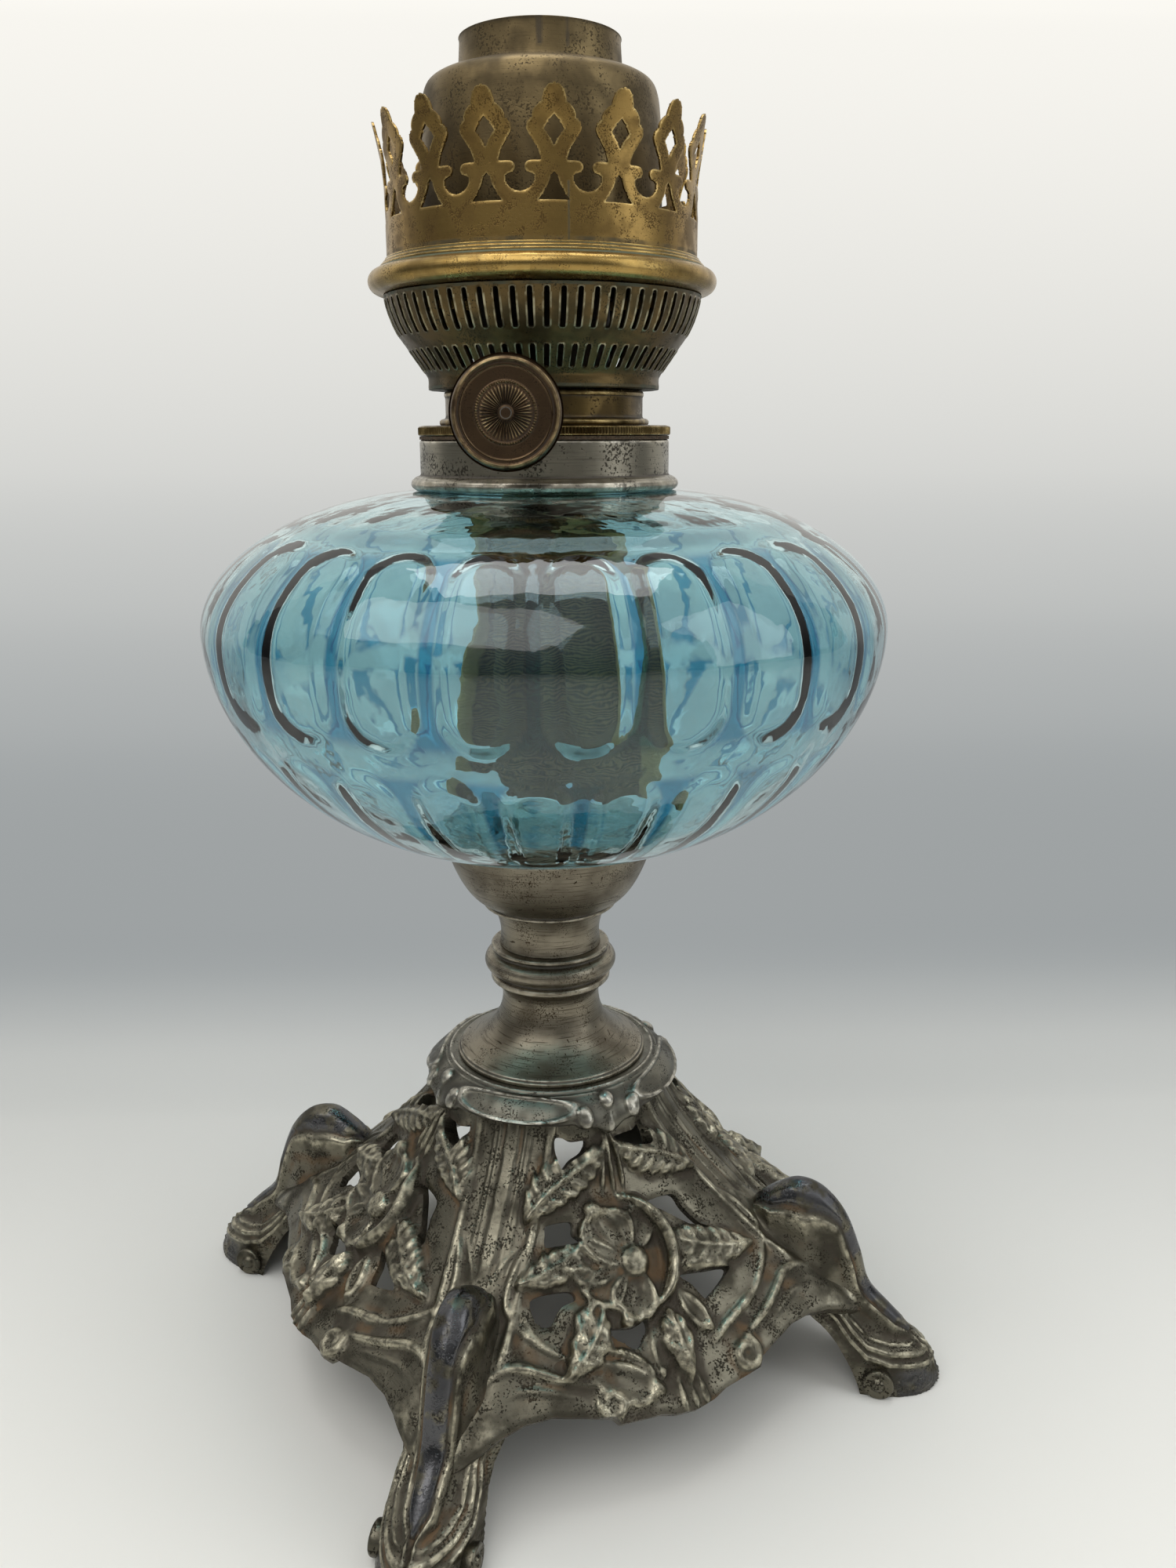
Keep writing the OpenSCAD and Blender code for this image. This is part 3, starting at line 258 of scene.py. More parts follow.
def with_back(outer: np.ndarray, inner: np.ndarray, cells: np.ndarray, relief: np.ndarray) -> Shape:
    """Makes a pierced sheet: an outer and an inner skin, joined along every open edge.

    Args:
        outer: The points of the outer skin.
        inner: The points of the inner skin, one for each outer one.
        cells: The cells that are left, with four point numbers each.
        relief: How far each outer point is raised.

    Returns:
        The closed shape, without unused points.
    """
    n = len(outer)
    starts = cells.ravel()
    ends = np.roll(cells, -1, 1).ravel()
    open_edge = ~np.isin(starts * n + ends, ends * n + starts)
    a, b = starts[open_edge], ends[open_edge]
    faces = np.vstack([cells, cells[:, ::-1] + n, np.stack([b, a, a + n, b + n], -1)])
    used, numbered = np.unique(faces, return_inverse=True)
    points = np.vstack([outer, inner])[used]
    return Shape(points, numbered.reshape(faces.shape).tolist(), np.concatenate([relief, relief * 0 - 0.2])[used])


def add_piece(name: str, shape: Shape, finish: "Finish", body: str, stands_for: tuple[str, ...],
              sharp: float = 38.0) -> bpy.types.Object:
    """Makes a Blender object of a shape and seats it on its body.

    Args:
        name: The piece's name.
        shape: Its mesh, in millimetres.
        finish: What it is made of.
        body: The moving body that it rides on.
        stands_for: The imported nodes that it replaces.
        sharp: The angle above which an edge stays sharp, in degrees.

    Returns:
        The new object.
    """
    mesh = bpy.data.meshes.new(name)
    mesh.from_pydata((shape.points * MM).tolist(), [], shape.faces)
    mesh.attributes.new("relief", "FLOAT", "POINT").data.foreach_set("value", shape.relief.astype(np.float32))
    if shape.polish is not None:
        mesh.attributes.new("polish", "FLOAT", "POINT").data.foreach_set("value", shape.polish.astype(np.float32))
    mesh.update()
    mesh.shade_smooth()
    mesh.set_sharp_from_angle(angle=math.radians(sharp))
    piece = bpy.data.objects.new(name, mesh)
    bpy.context.scene.collection.objects.link(piece)
    mesh.materials.append(finish.material())
    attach(piece, body)
    if stands_for:
        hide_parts(*stands_for)
    log.info("%s: %d faces on %s", name, len(mesh.polygons), body)
    return piece


def dress(node: str, finish: "Finish") -> None:
    """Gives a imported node, whose own shape stays, its finish.

    Args:
        node: The node's name.
        finish: What it is made of.
    """
    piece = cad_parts[node]
    piece.data.materials.clear()
    piece.data.materials.append(finish.material())
    log.info("%s: packed shape, dressed", node)


# Finishes


def colour(red: float, green: float, blue: float) -> tuple[float, float, float, float]:
    """Turns a screen colour of three numbers up to 255 into the linear colour that Blender works in."""
    return tuple(c / 255 / 12.92 if c <= 10 else ((c / 255 + 0.055) / 1.055) ** 2.4 for c in (red, green, blue)) + (1.0,)


class Tree:
    """Adds nodes to a node tree and links them."""

    def __init__(self, tree: bpy.types.NodeTree) -> None:
        """Keeps the tree and empties it."""
        self.tree = tree
        self.tree.nodes.clear()

    def add(self, kind: str, inputs: dict | None = None, **settings: object) -> bpy.types.Node:
        """Adds a node.

        Args:
            kind: Blender's name for the kind of node, after its ShaderNode prefix.
            inputs: A value or a socket for each named or numbered input.
            settings: The node's own settings.

        Returns:
            The node.
        """
        prefix = "" if kind.startswith("NodeGroup") else "ShaderNode"
        node = self.tree.nodes.new(prefix + kind)
        for name, value in settings.items():
            setattr(node, name, value)
        for name, value in (inputs or {}).items():
            if isinstance(value, bpy.types.NodeSocket):
                self.tree.links.new(value, node.inputs[name])
            else:
                node.inputs[name].default_value = value
        return node

    def place(self) -> bpy.types.NodeSocket:
        """Where a point of the piece is, in the row frame."""
        return self.add("TexCoord").outputs["Object"]

    def noise(self, size: object, detail: float = 3.0, vector: bpy.types.NodeSocket | None = None) -> bpy.types.NodeSocket:
        """A noise from 0 to 1 whose blots are size millimetres wide.

        Args:
            size: The width of a blot, as a number or a socket.
            detail: How many finer noises it carries.
            vector: The coordinates, where they aren't the piece's own.

        Returns:
            The noise's value.
        """
        scale = self.maths("DIVIDE", 1000.0, size) if isinstance(size, bpy.types.NodeSocket) else 1000.0 / size
        node = self.add("TexNoise", {"Scale": scale, "Detail": detail, "Vector": vector or self.place()})
        return node.outputs["Fac"]

    def maths(self, operation: str, a: object, b: object = 0.0, clamp: bool = False) -> bpy.types.NodeSocket:
        """The result of a sum on two values."""
        return self.add("Math", {0: a, 1: b}, operation=operation, use_clamp=clamp).outputs[0]

    def span(self, value: object, low: float, high: float, to_low: object = 0.0, to_high: object = 1.0) -> bpy.types.NodeSocket:
        """Spreads the values from low to high over the range from to_low to to_high."""
        node = self.add("MapRange", {"Value": value, "From Min": low, "From Max": high, "To Min": to_low, "To Max": to_high},
                        interpolation_type="SMOOTHSTEP")
        return node.outputs["Result"]

    def blend(self, share: object, a: object, b: object) -> bpy.types.NodeSocket:
        """The colour a share of the way from a to b."""
        node = self.add("Mix", {0: share, 6: a, 7: b}, data_type="RGBA")
        return node.outputs[2]


def group(name: str, inputs: dict[str, object], outputs: dict[str, str]) -> tuple[Tree, bpy.types.Node, bpy.types.Node]:
    """Starts a node group.

    Args:
        name: The group's name.
        inputs: The default value of each input, a number or a colour.
        outputs: The socket type of each output.

    Returns:
        The group's tree, its input node and its output node.
    """
    made = bpy.data.node_groups.new(name, "ShaderNodeTree")
    tree = Tree(made)
    for key, value in inputs.items():
        kind = "NodeSocketColor" if isinstance(value, tuple) else "NodeSocketFloat"
        made.interface.new_socket(key, in_out="INPUT", socket_type=kind).default_value = value
    for key, kind in outputs.items():
        made.interface.new_socket(key, in_out="OUTPUT", socket_type=kind)
    return tree, tree.add("NodeGroupInput"), tree.add("NodeGroupOutput")


def patina_group() -> bpy.types.NodeTree:
    """Blotches and speckles of age on a metal.

    Returns:
        A group that puts out the stained colour and how stained a place is.
    """
    found = bpy.data.node_groups.get("patina")
    if found:
        return found
    tree, taken, given = group(
        "patina",
        {"Base": (0.5, 0.5, 0.5, 1), "Dark": (0.1, 0.1, 0.1, 1), "Patch Size": 9.0, "Speckle Size": 0.8, "Speckles": 0.5,
         "Patches": 0.5},
        {"Color": "NodeSocketColor", "Stain": "NodeSocketFloat"})
    ask = taken.outputs
    patch = tree.span(tree.noise(ask["Patch Size"], 4.0), 0.42, 0.68)
    fine = tree.noise(ask["Speckle Size"], 2.0)
    spread = tree.noise(tree.maths("MULTIPLY", ask["Patch Size"], 0.6), 2.0)
    limit = tree.maths("SUBTRACT", 0.72, tree.maths("MULTIPLY", ask["Speckles"], tree.span(spread, 0.38, 0.66, 0.05, 0.24)))
    speck = tree.maths("MULTIPLY", tree.maths("SUBTRACT", fine, limit), 16.0, clamp=True)
    stain = tree.maths("MAXIMUM", tree.maths("MULTIPLY", patch, ask["Patches"]), tree.maths("MULTIPLY", speck, 0.85))
    tree.tree.links.new(tree.blend(stain, ask["Base"], ask["Dark"]), given.inputs["Color"])
    tree.tree.links.new(stain, given.inputs["Stain"])
    return tree.tree


def wear_group() -> bpy.types.NodeTree:
    """Rubbed edges and filled recesses.

    Returns:
        A group that puts out the colour, and masks for what is rubbed bright and what is filled with dirt.
    """
    found = bpy.data.node_groups.get("wear")
    if found:
        return found
    tree, taken, given = group(
        "wear",
        {"Color": (0.5, 0.5, 0.5, 1), "Bright": (0.8, 0.8, 0.8, 1), "Grime": (0.1, 0.08, 0.05, 1), "Rub": 0.5, "Dirt": 0.5},
        {"Color": "NodeSocketColor", "Rubbed": "NodeSocketFloat", "Filled": "NodeSocketFloat"})
    ask = taken.outputs
    relief = tree.add("Attribute", attribute_name="relief").outputs["Fac"]
    broken = tree.span(tree.noise(2.4, 4.0), 0.3, 0.7)
    rubbed = tree.maths("MULTIPLY", tree.span(relief, 0.08, 0.6), tree.maths("MULTIPLY", ask["Rub"], broken), clamp=True)
    patchy = tree.span(tree.noise(6.0, 3.0), 0.25, 0.7)
    patchy = tree.maths("MAXIMUM", patchy, tree.span(relief, -0.75, -0.9))
    filled = tree.maths("MULTIPLY", tree.span(relief, -0.05, -0.55), tree.maths("MULTIPLY", ask["Dirt"], patchy), clamp=True)
    bright = tree.blend(rubbed, ask["Color"], ask["Bright"])
    tree.tree.links.new(tree.blend(filled, bright, ask["Grime"]), given.inputs["Color"])
    tree.tree.links.new(rubbed, given.inputs["Rubbed"])
    tree.tree.links.new(filled, given.inputs["Filled"])
    return tree.tree


def scratch_group() -> bpy.types.NodeTree:
    """Fine lines left by turning and by use.

    Returns:
        A group that puts out where the lines are.
    """
    found = bpy.data.node_groups.get("scratches")
    if found:
        return found
    tree, taken, given = group("scratches", {"Amount": 0.5, "Spacing": 0.25}, {"Lines": "NodeSocketFloat"})
    ask = taken.outputs
    split = tree.add("SeparateXYZ", {0: tree.place()}).outputs
    turned_marks = tree.add("CombineXYZ", {0: tree.maths("MULTIPLY", split["X"], 0.03),
                                           1: tree.maths("MULTIPLY", split["Y"], 0.03), 2: split["Z"]}).outputs[0]
    rings = tree.span(tree.noise(ask["Spacing"], 2.0, turned_marks), 0.52, 0.72)
    tilted = tree.add("Mapping", {"Vector": tree.place(), "Rotation": (0.6, 0.9, 0.3), "Scale": (1.0, 0.06, 1.0)}).outputs[0]
    gouges = tree.span(tree.noise(1.1, 1.0, tilted), 0.7, 0.76)
    lines = tree.maths("MAXIMUM", tree.maths("MULTIPLY", rings, 0.75), gouges)
    tree.tree.links.new(tree.maths("MULTIPLY", lines, ask["Amount"]), given.inputs["Lines"])
    return tree.tree


class Finish:
    """What a piece is made of. Each kind of finish draws its own material."""

    name: str

    def material(self) -> bpy.types.Material:
        """The finish's material, made once."""
        title = f"{self.name}_finish"
        found = bpy.data.materials.get(title)
        if found:
            return found
        made = bpy.data.materials.new(title)
        made.use_nodes = True
        tree = Tree(made.node_tree)
        surface = self.draw(tree)
        tree.add("OutputMaterial", {"Surface": surface})
        return made

    def draw(self, tree: Tree) -> bpy.types.NodeSocket:
        """Draws the finish's nodes and gives back its shader."""
        raise NotImplementedError


@dataclass(frozen=True)
class Metal(Finish):
    """An aged metal. Colours are screen colours and sizes millimetres."""

    name: str
    base: tuple[int, int, int]
    dark: tuple[int, int, int]
    bright: tuple[int, int, int]
    grime: tuple[int, int, int]
    patch: float = 9.0
    patches: float = 0.5
    speckle: float = 0.8
    speckles: float = 0.5
    rub: float = 0.7
    dirt: float = 0.7
    smooth: float = 0.28
    rough: float = 0.5
    scratches: float = 0.3
    grain: float = 0.6
    dents: float = 0.05
    polished: tuple[int, int, int] = (84, 84, 86)
    earth: tuple[int, int, int] | None = None

    def draw(self, tree: Tree) -> bpy.types.NodeSocket:
        """Draws stains, rubbed edges, dirt and scratches over the metal.

        Args:
            tree: The material's tree.

        Returns:
            The shader.
        """
        patina = tree.add("Group", node_tree=patina_group())
        for key, value in {"Base": colour(*self.base), "Dark": colour(*self.dark), "Patch Size": self.patch,
                           "Speckle Size": self.speckle, "Speckles": self.speckles, "Patches": self.patches}.items():
            patina.inputs[key].default_value = value
        lines = tree.add("Group", {"Amount": self.scratches}, node_tree=scratch_group()).outputs["Lines"]
        scored = tree.blend(lines, patina.outputs["Color"], colour(*self.dark))
        grime = colour(*self.grime)
        if self.earth:
            grime = tree.blend(tree.span(tree.noise(13.0, 2.0), 0.5, 0.62), grime, colour(*self.earth))
        wear = tree.add("Group", {"Color": scored, "Bright": colour(*self.bright), "Grime": grime,
                                  "Rub": self.rub, "Dirt": self.dirt}, node_tree=wear_group())
        stain, rubbed, filled = patina.outputs["Stain"], wear.outputs["Rubbed"], wear.outputs["Filled"]
        roughness = tree.span(tree.maths("ADD", stain, filled), 0.0, 1.0, self.smooth, self.rough)
        roughness = tree.maths("SUBTRACT", roughness, tree.maths("MULTIPLY", rubbed, 0.08), clamp=True)
        worn = tree.span(tree.noise(5.0, 4.0), 0.62, 0.46)
        polish = tree.maths("MULTIPLY", tree.add("Attribute", attribute_name="polish").outputs["Fac"], worn, clamp=True)
        shade = tree.blend(polish, wear.outputs["Color"], colour(*self.polished))
        roughness = tree.maths("SUBTRACT", roughness, tree.maths("MULTIPLY", polish, 0.14), clamp=True)
        metallic = tree.maths("SUBTRACT", 1.0, tree.maths("MULTIPLY", filled, 0.8), clamp=True)
        skin = tree.maths("MULTIPLY", tree.noise(self.grain, 3.0), 0.35)
        height = tree.maths("SUBTRACT", skin, tree.maths("ADD", tree.maths("MULTIPLY", stain, 0.3),
                                                         tree.maths("MULTIPLY", lines, 0.5)))
        bump = tree.add("Bump", {"Height": height, "Strength": 1.0, "Distance": self.dents * MM})
        return tree.add("BsdfPrincipled", {
            "Base Color": shade, "Roughness": roughness, "Metallic": metallic,
            "Normal": bump.outputs[0]}).outputs[0]


@dataclass(frozen=True)
class TintedGlass(Finish):
    """Turquoise glass, deeper in colour along its ribs: partly the thicker glass's own colour, partly painted shade for
    the dark lines that the ribs throw by refraction.
    """

    name: str
    thin: tuple[int, int, int]
    thick: tuple[int, int, int]
    roughness: float = 0.02
    ripple: float = 0.05

    def draw(self, tree: Tree) -> bpy.types.NodeSocket:
        """Draws the glass with its waves and its deeper ribs, whose tint is partly painted shade.

        Args:
            tree: The material's tree.

        Returns:
            The shader.
        """
        # partly painted shade: the rib mask from the relief attribute lays the deep tint on the rib crests in place of
        # their refraction lines
        depth = tree.span(tree.add("Attribute", attribute_name="relief").outputs["Fac"], 0.0, 1.0)
        cloud = tree.span(tree.noise(30.0, 2.0), 0.35, 0.75, 0.0, 0.18)
        shade = tree.blend(tree.maths("ADD", depth, cloud, clamp=True), colour(*self.thin), colour(*self.thick))
        waves = tree.maths("ADD", tree.noise(16.0, 1.0), tree.maths("MULTIPLY", tree.noise(4.0, 1.0), 0.12))
        bump = tree.add("Bump", {"Height": waves, "Strength": 1.0, "Distance": self.ripple * 10 * MM})
        return tree.add("BsdfPrincipled", {
            "Base Color": shade, "Roughness": self.roughness, "IOR": 1.5, "Transmission Weight": 1.0,
            "Normal": bump.outputs[0]}).outputs[0]


@dataclass(frozen=True)
class Cloth(Finish):
    """Woven cotton, soaked and browned."""

    name: str
    base: tuple[int, int, int]
    dark: tuple[int, int, int]
    edge: tuple[int, int, int]
    thread: float = 0.9

    def draw(self, tree: Tree) -> bpy.types.NodeSocket:
        """Draws the weave, its stains and its paler edges.

        Args:
            tree: The material's tree.

        Returns:
            The shader.
        """
        selvage = tree.span(tree.add("Attribute", attribute_name="relief").outputs["Fac"], 0.2, 0.9)
        split = tree.add("SeparateXYZ", {0: tree.place()}).outputs
        pick = tree.maths("SINE", tree.maths("MULTIPLY", split["Z"], 6283.0 / self.thread))
        warp = tree.noise(self.thread, 2.0)
        weave = tree.maths("ADD", tree.maths("MULTIPLY", pick, 0.25), warp)
        stained = tree.blend(tree.span(tree.noise(22.0, 4.0), 0.35, 0.65), colour(*self.base), colour(*self.dark))
        thread = tree.blend(tree.maths("MULTIPLY", tree.span(weave, 0.2, 0.8), 0.35), stained, colour(*self.edge))
        shade = tree.blend(selvage, thread, colour(*self.edge))
        bump = tree.add("Bump", {"Height": weave, "Strength": 0.8, "Distance": 0.25 * MM})
        return tree.add("BsdfPrincipled", {"Base Color": shade, "Roughness": 0.9, "Normal": bump.outputs[0]}).outputs[0]


@dataclass(frozen=True)
class Mineral(Finish):
    """Plaster, cement or cork: a dull body with grains of another shade."""

    name: str
    base: tuple[int, int, int]
    fleck: tuple[int, int, int]
    grain: float = 0.8

    def draw(self, tree: Tree) -> bpy.types.NodeSocket:
        """Draws the grains.

        Args:
            tree: The material's tree.

        Returns:
            The shader.
        """
        grains = tree.noise(self.grain, 4.0)
        shade = tree.blend(tree.span(grains, 0.45, 0.62), colour(*self.base), colour(*self.fleck))
        bump = tree.add("Bump", {"Height": grains, "Strength": 0.7, "Distance": 0.2 * MM})
        roughness = tree.span(grains, 0.3, 0.7, 0.8, 0.95)
        return tree.add("BsdfPrincipled", {"Base Color": shade, "Roughness": roughness, "Normal": bump.outputs[0]}).outputs[0]


CAST_METAL = Metal("cast_metal", (109, 105, 92), (42, 39, 33), (188, 182, 160), (56, 48, 36), patch=8, patches=0.65,
                   speckle=0.55, speckles=1.1, rub=0.85, dirt=0.85, smooth=0.33, rough=0.66, scratches=0.15, dents=0.14,
                   earth=(98, 75, 48))
CAP_METAL = Metal("cap_metal", (108, 106, 96), (56, 53, 47), (196, 192, 180), (54, 50, 42), patch=8, patches=0.5,
                  speckle=0.5, speckles=0.9, rub=0.85, dirt=0.9, smooth=0.33, rough=0.58, scratches=0.2, dents=0.07)
STEM_PLATE = Metal("stem_plate", (132, 125, 110), (58, 49, 38), (196, 190, 174), (56, 54, 48), patch=12, patches=0.55,
                   speckle=0.4, speckles=0.85, rub=0.5, dirt=0.8, smooth=0.36, rough=0.52, scratches=1.0, dents=0.04)
COLLAR_PLATE = Metal("collar_plate", (148, 142, 127), (40, 35, 30), (222, 215, 200), (54, 47, 40), patch=14, patches=0.4,
                     speckle=0.6, speckles=1.0, rub=0.6, dirt=0.8, smooth=0.3, rough=0.52, scratches=0.4, dents=0.06)
CROWN_BRASS = Metal("crown_brass", (154, 126, 74), (80, 62, 37), (214, 186, 124), (62, 60, 42), patch=6, patches=0.6,
                    speckle=0.32, speckles=1.1, rub=0.75, dirt=0.8, smooth=0.34, rough=0.56, scratches=0.15, dents=0.04)
BEZEL_BRASS = Metal("bezel_brass", (160, 131, 74), (94, 76, 45), (212, 184, 118), (84, 92, 70), patch=12, patches=0.5,
                    speckle=0.35, speckles=0.95, rub=0.6, dirt=0.95, smooth=0.26, rough=0.48, scratches=0.25, dents=0.03)
BASKET_BRASS = Metal("basket_brass", (96, 80, 52), (54, 53, 40), (172, 166, 138), (66, 74, 60), patch=8, patches=0.65,
                     speckle=0.4, speckles=0.9, rub=0.85, dirt=0.8, smooth=0.36, rough=0.6, scratches=0.1, dents=0.04)
BURNER_BRASS = Metal("burner_brass", (100, 83, 51), (54, 44, 30), (178, 156, 108), (54, 46, 34), patch=8, patches=0.65,
                     speckle=0.45, speckles=0.9, rub=0.6, dirt=0.8, smooth=0.3, rough=0.54, scratches=0.25, dents=0.04)
SOOTED_BRASS = Metal("sooted_brass", (48, 42, 33), (20, 18, 15), (84, 74, 56), (18, 16, 13), patch=9, patches=0.7,
                     speckle=0.6, speckles=0.8, rub=0.3, dirt=0.8, smooth=0.5, rough=0.75, scratches=0.1, dents=0.05)
DOME_BRASS = Metal("dome_brass", (120, 104, 74), (70, 61, 46), (166, 146, 100), (58, 50, 38), patch=11, patches=0.75,
                   speckle=0.5, speckles=0.9, rub=0.5, dirt=0.7, smooth=0.42, rough=0.6, scratches=0.3, dents=0.05)
KNOB_BRASS = Metal("knob_brass", (86, 69, 52), (46, 37, 29), (158, 138, 102), (38, 31, 25), patch=6, patches=0.5,
                   speckle=0.35, speckles=0.75, rub=0.8, dirt=0.8, smooth=0.34, rough=0.54, scratches=0.2, dents=0.04)
STEEL = Metal("steel", (142, 140, 136), (84, 74, 64), (190, 188, 184), (70, 56, 42), patch=6, patches=0.5)
# the second colour is the deep rib tint, partly the glass's own colour and partly painted shade for the ribs'
# refraction lines
FONT_GLASS = TintedGlass("font_glass", (202, 235, 238), (22, 122, 172))
WICK_COTTON = Cloth("wick_cotton", (50, 43, 29), (27, 25, 19), (172, 142, 92))
PLASTER = Mineral("plaster", (222, 216, 204), (196, 188, 172))
CORK = Mineral("cork", (78, 62, 44), (52, 40, 28), 0.5)


# Foot


@dataclass
class Motif:
    """Ornament on a face of the foot: heights in millimetres at places given as right and down."""

    right: np.ndarray
    down: np.ndarray
    height: np.ndarray

    def along(self, path: np.ndarray) -> tuple[np.ndarray, np.ndarray, np.ndarray]:
        """Finds each place's nearest point on a line.

        Args:
            path: The line's points.

        Returns:
            The share along the line, the distance from it, above 0 to its right, and the distance without sign.
        """
        best = np.full(self.right.shape, 1e9)
        share, side = np.zeros_like(best), np.zeros_like(best)
        lengths = np.linalg.norm(np.diff(path, axis=0), axis=1)
        total, run = lengths.sum(), 0.0
        for start, end, length in zip(path[:-1], path[1:], lengths):
            step = (end - start) / length
            x, y = self.right - start[0], self.down - start[1]
            on = np.clip(x * step[0] + y * step[1], 0, length)
            far = np.hypot(x - on * step[0], y - on * step[1])
            near = far < best
            best = np.where(near, far, best)
            share = np.where(near, (run + on) / total, share)
            side = np.where(near, x * step[1] - y * step[0], side)
            run += length
        return share, side, best

    def lay(self, height: np.ndarray) -> None:
        """Keeps the higher of what is there and what is laid on."""
        self.height = np.maximum(self.height, height)

    def leaf(self, root: tuple, tip: tuple, width: float, height: float, curl: float = 0.0, teeth: int = 6,
             lift: float = 0.3) -> None:
        """Lays a veined leaf with a toothed edge.

        Args:
            root: Where it starts.
            tip: Where it ends.
            width: Its greatest width.
            height: How far it stands out.
            curl: How far its middle bends to its right.
            teeth: How many teeth each side has.
            lift: How much of its height its tip has beyond its root.
        """
        a, b = np.array(root, float), np.array(tip, float)
        along = (b - a) / np.linalg.norm(b - a)
        middle = (a + b) / 2 + np.array([along[1], -along[0]]) * curl * 2
        share, side, far = self.along(np.array(bend(tuple(a), tuple(middle), tuple(b), 12)))
        saw = 1 - 0.2 * (share * teeth % 1.0)
        half = width / 2 * np.sin(np.pi * np.clip(share, 0.01, 0.995) ** 0.72) ** 0.75 * saw + 0.05
        q = far / half
        body = 0.62 + 0.38 * np.cos(np.clip(q, 0, 1) * 1.5) + lift * share
        ribs = 0.16 * np.cos(2 * np.pi * (share * teeth + 0.55 * q)) * np.clip(q * 3, 0, 1)
        midrib = 0.22 * np.exp(-((far / 0.45) ** 2)) - 0.2 * np.exp(-(((far - 1.0) / 0.5) ** 2))
        wall = ease((half - far) / 0.55)
        self.lay(np.where(far < half + 0.6, height * (body + ribs + midrib) * wall, 0))

    def petal(self, root: tuple, tip: tuple, width: float, height: float, curl: float = 0.0) -> None:
        """Lays a smooth petal, hollow in its middle, with a rolled edge.

        Args:
            root: Where it starts.
            tip: Where it ends.
            width: Its greatest width.
            height: How far its edge stands out.
            curl: How far its middle bends to its right.
        """
        a, b = np.array(root, float), np.array(tip, float)
        along = (b - a) / np.linalg.norm(b - a)
        middle = (a + b) / 2 + np.array([along[1], -along[0]]) * curl * 2
        share, _, far = self.along(np.array(bend(tuple(a), tuple(middle), tuple(b), 12)))
        half = width / 2 * np.sin(np.pi * np.clip(share, 0.02, 0.97) ** 1.25) ** 0.55
        q = np.clip(far / half, 0, 1.2)
        rim = np.maximum(q, ease((share - 0.72) / 0.25))
        folds = 0.07 * np.cos(q * 14)
        self.lay(np.where(far < half + 0.5, height * (0.38 + 0.62 * rim**2 + folds) * ease((half - far) / 0.5), 0))

    def ridge(self, path: list, width: float, height: float, ends: tuple[float, float] = (0.3, 0.3)) -> None:
        """Lays a round ridge along a line.

        Args:
            path: The line's points.
            width: Its width.
            height: Its height.
            ends: What share of its width is left at its two ends.
        """
        share, _, far = self.along(smooth_path(path, 5))
        size = np.minimum(ends[0] + (1 - ends[0]) * ease(share * 3.5), ends[1] + (1 - ends[1]) * ease((1 - share) * 3.5))
        q = far / (width / 2 * size)
        self.lay(np.where(q < 1, height * size * np.sqrt(np.clip(1 - q * q, 0, 1)), 0))

    def boss(self, centre: tuple, radius: float, height: float, beads: int = 0) -> None:
        """Lays a round boss, with a ring of beads if beads says how many."""
        x, y = self.right - centre[0], self.down - centre[1]
        far = np.hypot(x, y)
        dome = height * np.sqrt(np.clip(1 - (far / radius) ** 2, 0, 1))
        if beads:
            turn = np.arctan2(y, x)
            pearls = 0.5 + 0.5 * np.cos(beads * turn)
            dome = dome + 0.55 * pearls * np.exp(-(((far - radius * 0.72) / (radius * 0.2)) ** 2))
            dome = dome - 0.5 * np.exp(-((far / (radius * 0.3)) ** 2))
        self.lay(np.where(far < radius, dome, 0))

    def volute(self, centre: tuple, radius: float, height: float, hand: int) -> None:
        """Lays a small scroll that turns to one hand, 1 or -1."""
        turns = [(centre[0] + hand * radius * (1 - 0.78 * i / 22) * math.cos(0.45 * i - 1.2),
                  centre[1] + radius * (1 - 0.78 * i / 22) * math.sin(0.45 * i - 1.2)) for i in range(23)]
        self.boss(centre, radius * 1.05, height * 0.5)
        self.ridge(turns, radius * 0.62, height, (0.7, 0.7))


def outline_distance(right: np.ndarray, down: np.ndarray, outline: np.ndarray) -> tuple[np.ndarray, np.ndarray, np.ndarray]:
    """Measures how far places are from a closed outline.

    Args:
        right: The places' first coordinate.
        down: Their second one.
        outline: The outline's points.

    Returns:
        The distance, below 0 inside, and the two coordinates of the nearest point on the outline.
    """
    best = np.full(right.shape, 1e9)
    near_r, near_d = right.copy(), down.copy()
    inside = np.zeros(right.shape, bool)
    for start, end in zip(outline, np.roll(outline, -1, 0)):
        step = end - start
        share = np.clip(((right - start[0]) * step[0] + (down - start[1]) * step[1]) / (step @ step), 0, 1)
        pr, pd = start[0] + share * step[0], start[1] + share * step[1]
        far = np.hypot(right - pr, down - pd)
        closer = far < best
        best, near_r, near_d = np.where(closer, far, best), np.where(closer, pr, near_r), np.where(closer, pd, near_d)
        crosses = (start[1] > down) != (end[1] > down)
        slope = np.where(abs(step[1]) > 1e-9, step[0] / (step[1] if abs(step[1]) > 1e-9 else 1.0), 0.0)
        inside ^= crosses & (right < start[0] + (down - start[1]) * slope)
    return np.where(inside, -best, best), near_r, near_d


def blurred(values: np.ndarray, reach: int) -> np.ndarray:
    """Averages values over their neighbours in a grid that closes on itself along its rows."""
    out = values
    weights = np.exp(-0.5 * (np.arange(-2 * reach, 2 * reach + 1) / reach) ** 2)
    weights /= weights.sum()
    for axis in (0, 1):
        pad = [(0, 0), (0, 0)]
        pad[axis] = (2 * reach, 2 * reach)
        wide = np.pad(out, pad, mode="edge" if axis == 0 else "wrap")
        n = out.shape[axis]
        out = sum(w * np.take(wide, range(k, k + n), axis) for k, w in enumerate(weights))
    return out


